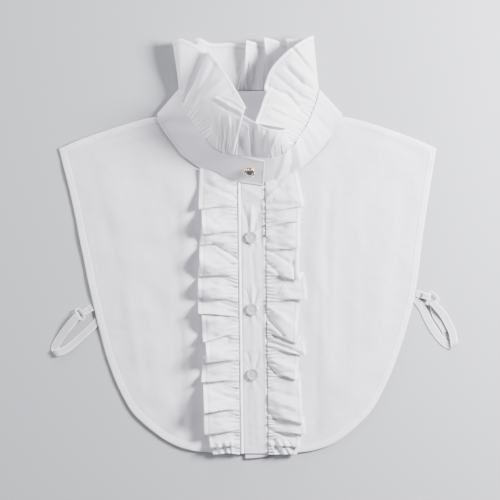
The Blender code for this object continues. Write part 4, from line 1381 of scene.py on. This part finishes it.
def along_stand(place):
    """Length of the band's top edge up to a place, in millimetres."""
    spot = min(max(place * STAND_STEPS, 0.0), len(stand_lengths) - 1.001)
    i = int(spot)
    return mix(stand_lengths[i], stand_lengths[i + 1], spot - i)


def gather_at(place):
    """Height and reach of the frill's gathers at a place on the band."""
    for a, b in zip(FRILL_GATHERS, FRILL_GATHERS[1:]):
        if place <= b[0]:
            share = max((place - a[0]) / (b[0] - a[0]), 0.0)
            return mix(a[1], b[1], share), mix(a[2], b[2], share)
    return FRILL_GATHERS[-1][1:]


def frill_relief(row, x, y):
    """Height that the creases of the layer at a row give a point of the frill."""
    height = 0.0
    for first, last, *crease in FRILL_CREASES:
        if first < row < last:
            fade = min(1.0, (row - first) * 2.0, (last - row) * 2.0)
            height += fade * creased([crease], x, y)
    return height


def frill_point(u, v):
    row = u * FRILL_ROWS
    place, hem_x, hem_y, hem_z, bow = through(FRILL, row)
    root = stand_point(place, 1.0)
    root += (root - stand_point(place, 0.0)).normalized() * FRILL_ROOT_GAP
    hem = Vector((hem_x, hem_y, hem_z))
    length = (hem - root).length
    spot = root.lerp(hem, v) + Vector((0.0, 0.0, bow * math.sin(math.pi * v)))
    turning = sum(hump(place - turn, 1.0) for turn in SMOOTH_PLACES)
    height, reach = gather_at(place)
    small = gathered(along_stand(place) / FRILL_GATHER_SPACE, v, height, reach / length, 41.0)
    ripple = wander(row, v * 2.0, 47.0) * math.sin(math.pi * v)
    soft = frill_relief(row, spot.x, spot.y) * min(1.0, v * 6.0)
    rise = Vector((0.0, 0.0, ripple + soft + turned_hem((1.0 - v) * length)))
    return spot + stand_normal(place) * small * (1.0 - TURN_FADE * turning) + rise


# Whiter where the hem doubles the voile, with painted shade along its stitch row.
def frill_doubled_and_stitch_shade(u, v):
    place, hem_x, hem_y, hem_z, bow = through(FRILL, u * FRILL_ROWS)
    length = (Vector((hem_x, hem_y, hem_z)) - stand_point(place, 1.0)).length - FRILL_ROOT_GAP
    return in_hem_and_stitch_shade((1.0 - v) * length)


frill_columns = spaced(FRILL_ROWS * FRILL_STEPS)
frill = sheet_of_cloth(
    "neck_frill", frill_columns, spaced(44, 0.3), frill_point, FRILL_WALL, voile, frill_doubled_and_stitch_shade
)
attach(frill, "root")
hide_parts("collar_frill")


def frill_hem(lift):
    run = []
    for u in spaced(FRILL_ROWS * FRILL_STEPS * 2):
        length = (Vector(frill_point(u, 1.0)) - Vector(frill_point(u, 0.0))).length
        run.append(lifted(frill_point, u, 1.0 - RUFFLE_HEM / length, lift, 0.0005))
    return run


frill_rows = sewn(
    "frill_stitches", [frill_hem(FRILL_WALL / 2), frill_hem(-FRILL_WALL / 2)], **FINE_STITCHES
)


# Three shirt buttons of milky, half clear resin close the strip. Each has a rounded rim, a dish and
# four small holes set close, with white thread sewn up and down through them; the thread is coloured
# grey, painted shade of the stitches.
BUTTON_RADIUS = 5.7
BUTTON_TURN = 0.12
BUTTON_THICKNESS = 2.3
BUTTON_RIM = 1.3
BUTTON_DISH = 0.8
BUTTON_HOLE = 0.45
BUTTON_HOLE_ASIDE = 0.6
BUTTON_HOLE_ALONG = 1.15

resin = new_look("resin", {
    "Base Color": (0.72, 0.715, 0.74, 1.0),
    "Roughness": 0.1,
    "Transmission Weight": 0.5,
    "IOR": 1.5,
    "Coat Weight": 0.3,
})


def turned(name, profile, steps=64):
    """A profile of (radius, height) in millimetres turned round Z, closed and smooth."""
    mesh = bpy.data.meshes.new(name)
    edges = [(i, i + 1) for i in range(len(profile) - 1)]
    mesh.from_pydata([(radius * MM, 0.0, height * MM) for radius, height in profile], edges, [])
    obj = placed(name, mesh)
    screw = obj.modifiers.new("turn", "SCREW")
    screw.steps = steps
    screw.render_steps = steps
    screw.use_merge_vertices = True
    screw.merge_threshold = 1e-6
    screw.use_smooth_shade = True
    return obj


def with_normals_out(mesh):
    work = bmesh.new()
    work.from_mesh(mesh)
    bmesh.ops.recalc_face_normals(work, faces=work.faces)
    work.to_mesh(mesh)
    work.free()


def shirt_button(name):
    half = BUTTON_THICKNESS / 2
    rim = BUTTON_RADIUS - BUTTON_RIM
    dish = half - BUTTON_DISH
    profile = [(0.0, dish), (rim - 0.9, dish), (rim - 0.45, dish + 0.08), (rim - 0.1, half - 0.12)]
    across = BUTTON_RIM / 2
    for i in range(9):
        angle = math.pi * (0.75 - 0.9 * i / 8)
        out = BUTTON_RADIUS - across + across * math.cos(angle)
        profile.append((out, half - 0.55 + 0.55 * math.sin(angle)))
    profile += [(BUTTON_RADIUS, -half + 0.6), (BUTTON_RADIUS - 0.7, -half), (0.0, -half)]
    disc = turned(name, profile)
    drills = []
    for aside, along in ((1, 1), (-1, 1), (-1, -1), (1, -1)):
        bore = [(0.0, -3.0), (BUTTON_HOLE, -3.0), (BUTTON_HOLE, 3.0), (0.0, 3.0)]
        drill = turned(name + "_drill", bore, 20)
        drill.location = (aside * BUTTON_HOLE_ASIDE * MM, along * BUTTON_HOLE_ALONG * MM, 0.0)
        cut_out = disc.modifiers.new("hole", "BOOLEAN")
        cut_out.object = drill
        cut_out.operation = "DIFFERENCE"
        cut_out.solver = "EXACT"
        drills.append(drill)
    made = shaped_mesh(disc)
    for used in [disc, *drills]:
        bpy.data.objects.remove(used)
    with_normals_out(made)
    made.set_sharp_from_angle(angle=math.radians(40))
    return made


button_shape = shirt_button("button_shape")
for number, y in enumerate(BUTTON_HEIGHTS, 1):
    seat_z = TRIM_LEVEL + WALL / 2 + SEAM_GAP + BUTTON_THICKNESS / 2
    centre = Vector((BUTTON_X + lean(y), y, seat_z))
    spin = Matrix.Rotation(BUTTON_TURN * number, 4, "Z")
    disc = placed(f"shirt_button_{number}", button_shape.copy())
    disc.data.transform(Matrix.Translation(centre * MM) @ spin)
    given_look(disc, resin)
    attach(disc, "root")
    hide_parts(f"button_{number}")
    loops = []
    thread_low = BUTTON_THICKNESS / 2 - BUTTON_DISH - 0.9
    for hole in (-1, 1):
        for strand in (-0.2, 0.0, 0.2):
            loop = []
            for angle in [math.pi * share for share in spaced(12)]:
                along = BUTTON_HOLE_ALONG * math.cos(angle)
                high = thread_low + 1.15 * math.sin(angle) ** 0.5
                loop.append(centre + spin @ Vector((hole * BUTTON_HOLE_ASIDE + strand, along, high)))
            loops.append(loop)
    sewn(f"button_thread_{number}", loops, stitch=0.6, space=-0.25, thread=0.32)


# The neck button is a gold coloured metal cup with claws that grip a faceted dark metal stone. It
# sits on the lapped end of the band, on a short shank.
NECK_BUTTON_X = -0.1
NECK_BUTTON_SHARE = 0.47
NECK_BUTTON_RADIUS = 6.0
NECK_RIM_WIRE = 1.25
NECK_BUTTON_SHANK = 0.4
DOME_RADIUS = 4.4
DOME_HEIGHT = 3.6
DOME_SIDES = 12
DOME_RINGS = [  # share of the radius, share of the height, turn in half steps
    (1.0, 0.0, 0),
    (1.0, 0.22, 0),
    (0.86, 0.55, 1),
    (0.62, 0.80, 0),
    (0.34, 0.95, 1),
]
CLAWS = 12
CLAW_RADIUS = 0.55
CLAW_STRETCH = (0.9, 1.1, 2.2, 1.0)
CLAW_LEAN = -38


def metal(name, colour, roughness):
    values = {"Base Color": (*colour, 1.0), "Metallic": 1.0, "Roughness": roughness}
    return new_look(name, values)


gold = metal("gold_coloured_metal", (0.83, 0.60, 0.30), 0.22)
steel = metal("dark_polished_metal", (0.42, 0.41, 0.42), 0.1)

button_place = STAND_ROWS - 0.5
while stand_point(button_place, NECK_BUTTON_SHARE).x > NECK_BUTTON_X:
    button_place -= 0.01
button_normal = stand_normal(button_place)
button_seat = stand_point(button_place, NECK_BUTTON_SHARE)
button_seat += button_normal * (WALL / 2 + SEAM_GAP + NECK_BUTTON_SHANK)
upright = Vector((0.0, 0.0, 1.0)).rotation_difference(button_normal).to_matrix().to_4x4()
button_place_matrix = Matrix.Translation(button_seat * MM) @ upright

inner = NECK_BUTTON_RADIUS - NECK_RIM_WIRE
cup_profile = [(0.0, 1.0), (inner - 0.3, 1.0)]
wire = NECK_RIM_WIRE / 2
for i in range(13):
    angle = math.pi * (1.0 - i / 12)
    out = NECK_BUTTON_RADIUS - wire + wire * math.cos(angle)
    cup_profile.append((out, 1.3 + wire * math.sin(angle)))
cup_profile += [(NECK_BUTTON_RADIUS - 0.3, 0.2), (NECK_BUTTON_RADIUS - 1.0, 0.0), (0.0, 0.0)]
cup = plain_mesh("neck_button_cup", turned("cup_shape", cup_profile), gold, button_place_matrix)
with_normals_out(cup.data)
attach(cup, "root")
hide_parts("neck_button_rim")

claws = bmesh.new()
for i in range(CLAWS):
    angle = 2 * math.pi * i / CLAWS
    out = Matrix.Translation(Vector((inner + 0.25, 0.0, 1.9)) * MM)
    lean_in = Matrix.Rotation(math.radians(CLAW_LEAN), 4, "Y")
    shape = Matrix.Rotation(angle, 4, "Z") @ out @ lean_in @ Matrix.Diagonal(CLAW_STRETCH)
    bmesh.ops.create_uvsphere(
        claws, u_segments=12, v_segments=8, radius=CLAW_RADIUS * MM, matrix=shape
    )
claw_mesh = bpy.data.meshes.new("neck_button_claws")
claws.to_mesh(claw_mesh)
claws.free()
claw_mesh.transform(button_place_matrix)
claw_mesh.shade_smooth()
claw_ring = given_look(placed("neck_button_claws", claw_mesh), gold)
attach(claw_ring, "root")

points = []
for radius, height, turn in DOME_RINGS:
    for i in range(DOME_SIDES):
        angle = 2 * math.pi * (i + turn / 2) / DOME_SIDES
        out = radius * DOME_RADIUS
        spot = Vector((out * math.cos(angle), out * math.sin(angle), height * DOME_HEIGHT))
        points.append(spot * MM)
points += [Vector((0.0, 0.0, DOME_HEIGHT * MM)), Vector((0.0, 0.0, 0.0))]
stone_mesh = bpy.data.meshes.new("neck_button_stone")
facets = bmesh.new()
bmesh.ops.convex_hull(facets, input=[facets.verts.new(p) for p in points])
facets.to_mesh(stone_mesh)
facets.free()
stone_mesh.transform(Matrix.Translation(button_normal * (1.0 + SEAM_GAP) * MM) @ button_place_matrix)
stone = given_look(placed("neck_button_stone", stone_mesh), steel)
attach(stone, "root")
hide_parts("neck_button_dome")


# Each side has an adjustable loop of ribbed elastic, threaded through an oblong ring of coated
# wire that a short doubled tab holds to the panel. The ends are tacked down with bars of stitches.
STRAP_WIDTH = 6.6
TAB_WIDTH = 5.8
STRAP_STEPS = 8
STRAP_STEPS_ACROSS = 54
CORDS_FROM = 0.41
BAR_SHARES = (0.93, 0.945, 0.96, 0.975)
BAR_LIFT = 0.15
ELASTIC = 0.7
RIBS = 9
RIB_HEIGHT = 0.1
CORD_RIB_SHARE = 2.2
LEFT_TAB = [  # x, y, z, across
    (-151.6, -55.0, 1.8, 120.0),
    (-155.6, -57.4, 1.75, 120.5),
    (-159.2, -59.6, 1.58, 120.5),
    (-160.8, -60.5, 1.58, 120.5),
    (-161.6, -61.0, 1.95, 120.5),
    (-162.0, -61.2, 3.0, 120.5),
    (-161.6, -61.0, 4.05, 120.5),
    (-160.8, -60.5, 4.42, 120.5),
    (-159.2, -59.6, 4.3, 120.5),
    (-155.9, -57.6, 3.4, 120.5),
]
LEFT_STRAP = [  # x, y, z, across
    (-176.2, -76.2, 0.9, 316.0),
    (-171.6, -70.6, 1.2, 313.0),
    (-167.0, -64.9, 1.55, 305.0),
    (-165.2, -63.1, 1.58, 301.0),
    (-164.4, -62.6, 1.95, 300.5),
    (-164.0, -62.4, 3.0, 300.5),
    (-164.4, -62.6, 4.05, 300.5),
    (-165.2, -63.1, 4.42, 301.0),
    (-167.2, -65.1, 4.4, 306.0),
    (-172.0, -70.6, 3.7, 315.0),
    (-177.4, -77.6, 2.5, 319.0),
    (-182.2, -84.2, 1.5, 326.0),
    (-186.2, -91.0, 0.8, 332.0),
    (-187.5, -94.8, 0.55, 325.0),
    (-188.0, -97.4, 0.75, 318.0),
    (-187.9, -98.9, 1.5, 313.0),
    (-187.4, -99.2, 2.4, 308.0),
    (-186.3, -98.8, 3.1, 303.0),
    (-184.2, -98.2, 3.3, 296.0),
    (-179.0, -96.6, 2.4, 290.0),
    (-172.6, -92.4, 1.3, 303.0),
    (-165.0, -85.8, 0.6, 310.0),
    (-156.8, -78.4, 0.55, 312.0),
    (-146.2, -68.4, 0.55, 313.0),
]
RIGHT_TAB = [  # x, y, z, across
    (158.9, -41.7, 1.8, 76.0),
    (164.6, -43.1, 1.75, 76.0),
    (169.6, -44.4, 1.6, 76.0),
    (172.3, -45.1, 1.95, 76.0),
    (173.0, -45.3, 3.0, 76.0),
    (172.3, -45.1, 4.05, 76.0),
    (169.6, -44.4, 4.4, 76.0),
    (165.2, -43.3, 3.4, 76.0),
]
RIGHT_STRAP = [  # x, y, z, across
    (157.6, -45.2, 0.55, 28.0),
    (161.6, -50.6, 0.55, 31.0),
    (165.6, -56.4, 0.55, 27.0),
    (170.3, -66.1, 0.55, 27.0),
    (174.6, -74.3, 0.55, 30.0),
    (180.5, -82.6, 0.55, 37.0),
    (186.0, -88.6, 0.55, 46.0),
    (191.2, -91.9, 0.6, 50.0),
    (194.2, -92.7, 0.95, 44.0),
    (195.6, -92.4, 1.8, 37.0),
    (195.9, -91.4, 2.7, 31.0),
    (195.8, -89.4, 3.25, 25.0),
    (195.4, -86.0, 3.2, 18.0),
    (194.2, -79.4, 2.6, 19.0),
    (191.4, -73.0, 2.4, 23.0),
    (187.0, -64.6, 2.6, 30.0),
    (181.8, -57.6, 3.7, 31.0),
    (178.0, -53.4, 4.4, 26.0),
    (175.8, -50.9, 4.42, 22.2),
    (175.4, -50.0, 4.05, 22.2),
    (175.2, -49.6, 3.0, 22.2),
    (175.4, -50.0, 1.95, 22.2),
    (175.8, -50.9, 1.58, 22.2),
    (176.5, -53.6, 1.5, 22.0),
    (176.9, -58.0, 1.1, 22.0),
    (179.0, -63.8, 0.7, 30.0),
    (184.6, -72.2, 0.6, 36.0),
    (188.0, -78.6, 0.6, 30.0),
]


def elastic_look():
    """Ribbed elastic: grey between its cords, whiter on the thick ones, with a fine weave."""
    made = new_look("elastic", {"Roughness": 0.6, "Sheen Weight": 0.2})
    nodes, link, shader = tree_of(made)
    cords = nodes.new("ShaderNodeAttribute")
    cords.attribute_name = "hem"
    tone = colour_mix(nodes, link, cords.outputs["Fac"], (0.56, 0.55, 0.585), (0.86, 0.85, 0.88))
    link(tone, shader.inputs["Base Color"])
    picks = grain_waves(nodes, link, "X", 0.9, 0.4, 2.0)[0]
    woven = set_inputs(nodes.new("ShaderNodeBump"), {"Strength": 0.35, "Distance": 0.0002})
    link(picks.outputs["Fac"], woven.inputs["Height"])
    link(woven.outputs["Normal"], shader.inputs["Normal"])
    return made


elastic = elastic_look()


def strap_point(route, width):
    """Places on a ribbed band that follows a route, at shares along and across it."""
    last = len(route) - 1

    def at(u, v):
        x, y, z, across = through(route, u * last)
        angle = math.radians(across)
        side = Vector((math.cos(angle), math.sin(angle), 0.0))
        ahead = Vector(through(route, min(u * last + 0.05, last))[:3])
        behind = Vector(through(route, max(u * last - 0.05, 0.0))[:3])
        out = (ahead - behind).cross(side).normalized()
        cord = 1.0 if 0.06 < v < 0.94 else CORD_RIB_SHARE
        rib = RIB_HEIGHT * math.cos(2 * math.pi * RIBS * v) * cord
        return Vector((x, y, z)) + side * ((v - 0.5) * width) + out * rib

    return at


def edge_cords(u, v):
    """1 on the two thick cords at the strap's edges."""
    return 1.0 if abs(v - 0.5) > CORDS_FROM else 0.0


for name, route, width in (
    ("strap_tab_left", LEFT_TAB, TAB_WIDTH),
    ("strap_left", LEFT_STRAP, STRAP_WIDTH),
    ("strap_tab_right", RIGHT_TAB, TAB_WIDTH),
    ("strap_right", RIGHT_STRAP, STRAP_WIDTH),
):
    on_strap = strap_point(route, width)
    along = spaced((len(route) - 1) * STRAP_STEPS)
    across = spaced(STRAP_STEPS_ACROSS)
    ribbon = sheet_of_cloth(name + "_band", along, across, on_strap, ELASTIC, elastic, edge_cords)
    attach(ribbon, "root")
    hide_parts(name)
    if width == TAB_WIDTH:
        bar = []
        for u in BAR_SHARES:
            run = [on_strap(u, mix(0.15, 0.85, share)) for share in spaced(12)]
            bar.append([point + Vector((0.0, 0.0, ELASTIC / 2 + BAR_LIFT)) for point in run])
        sewn(name + "_bar", bar, stitch=0.5, space=0.12, thread=0.3)

RING_WIRE = 0.6
RING_LEVEL = 3.0
RING_STEPS = 8
LEFT_RING = [  # x, y
    (-159.1, -63.3),
    (-160.8, -60.5),
    (-162.4, -57.6),
    (-164.0, -56.4),
    (-166.0, -56.7),
    (-167.2, -58.3),
    (-166.9, -60.3),
    (-165.2, -63.1),
    (-163.6, -66.0),
    (-162.0, -67.2),
    (-160.0, -66.9),
    (-158.8, -65.3),
]
RIGHT_RING = [  # x, y
    (172.6, -41.0),
    (174.6, -40.2),
    (177.2, -41.8),
    (179.6, -44.6),
    (181.0, -47.2),
    (180.2, -49.0),
    (178.0, -50.0),
    (175.8, -50.9),
    (173.6, -51.8),
    (171.4, -52.5),
    (169.9, -51.4),
    (170.3, -48.9),
    (170.9, -46.6),
    (171.6, -44.3),
]
coated = new_look("coated_wire", {
    "Base Color": (0.82, 0.82, 0.84, 1.0),
    "Roughness": 0.25,
    "Coat Weight": 0.5,
})
for name, outline in (("strap_ring_left", LEFT_RING), ("strap_ring_right", RIGHT_RING)):
    joined = outline[-1:] + outline + outline[:3]
    line = []
    for i in range(len(outline) * RING_STEPS):
        x, y = through(joined, 1 + i / RING_STEPS)
        line.append((x, y, RING_LEVEL))
    loop = piped(name + "_wire", line, RING_WIRE, coated, closed=True, sides=4)
    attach(loop, "root")
    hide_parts(name)


# The collar lies on a pale sheet of card. A small soft light low on the right throws its shadows,
# and two weaker ones, beyond the collar and low on the left, and the room's own light fill them.
# The camera looks straight down from far above.
FLOOR = 6.0
floor_mesh = bpy.data.meshes.new("floor")
corners = [(x * FLOOR / 2, y * FLOOR / 2, 0) for x, y in ((-1, -1), (1, -1), (1, 1), (-1, 1))]
floor_mesh.from_pydata(corners, [], [(0, 1, 2, 3)])
card = new_look("card", {"Base Color": (0.40, 0.41, 0.44, 1.0), "Roughness": 0.9})
floor = given_look(placed("floor", floor_mesh), card)

room = bpy.data.worlds.new("room")
bpy.context.scene.world = room
room.use_nodes = True
set_inputs(room.node_tree.nodes["Background"], {"Color": (0.94, 0.95, 1.0, 1.0), "Strength": 0.3})


def soft_light(name, place, size, power, colour):
    lamp = bpy.data.lights.new(name, "AREA")
    lamp.shape = "DISK"
    lamp.size = size
    lamp.energy = power
    lamp.color = colour
    obj = placed(name, lamp)
    obj.location = place
    obj.rotation_euler = (-Vector(place)).to_track_quat("-Z", "Y").to_euler()


KEY_WHITE = (1.0, 0.985, 0.99)
FILL_WHITE = (0.99, 0.985, 1.0)
soft_light("key", (0.72, 0.27, 0.49), size=0.31, power=44.0, colour=KEY_WHITE)
soft_light("top", (-0.2, 1.5, 0.5), size=0.6, power=20.0, colour=FILL_WHITE)
soft_light("left", (-1.6, 0.0, 0.3), size=0.8, power=35.0, colour=FILL_WHITE)

CAMERA_HEIGHT = 10.667
camera = bpy.data.cameras.new("camera")
camera.lens = 800.0
camera.sensor_width = 36.0
camera.clip_end = 30.0
camera_stand = placed("camera", camera)
camera_stand.location = (0.0, 0.0, CAMERA_HEIGHT)
bpy.context.scene.camera = camera_stand
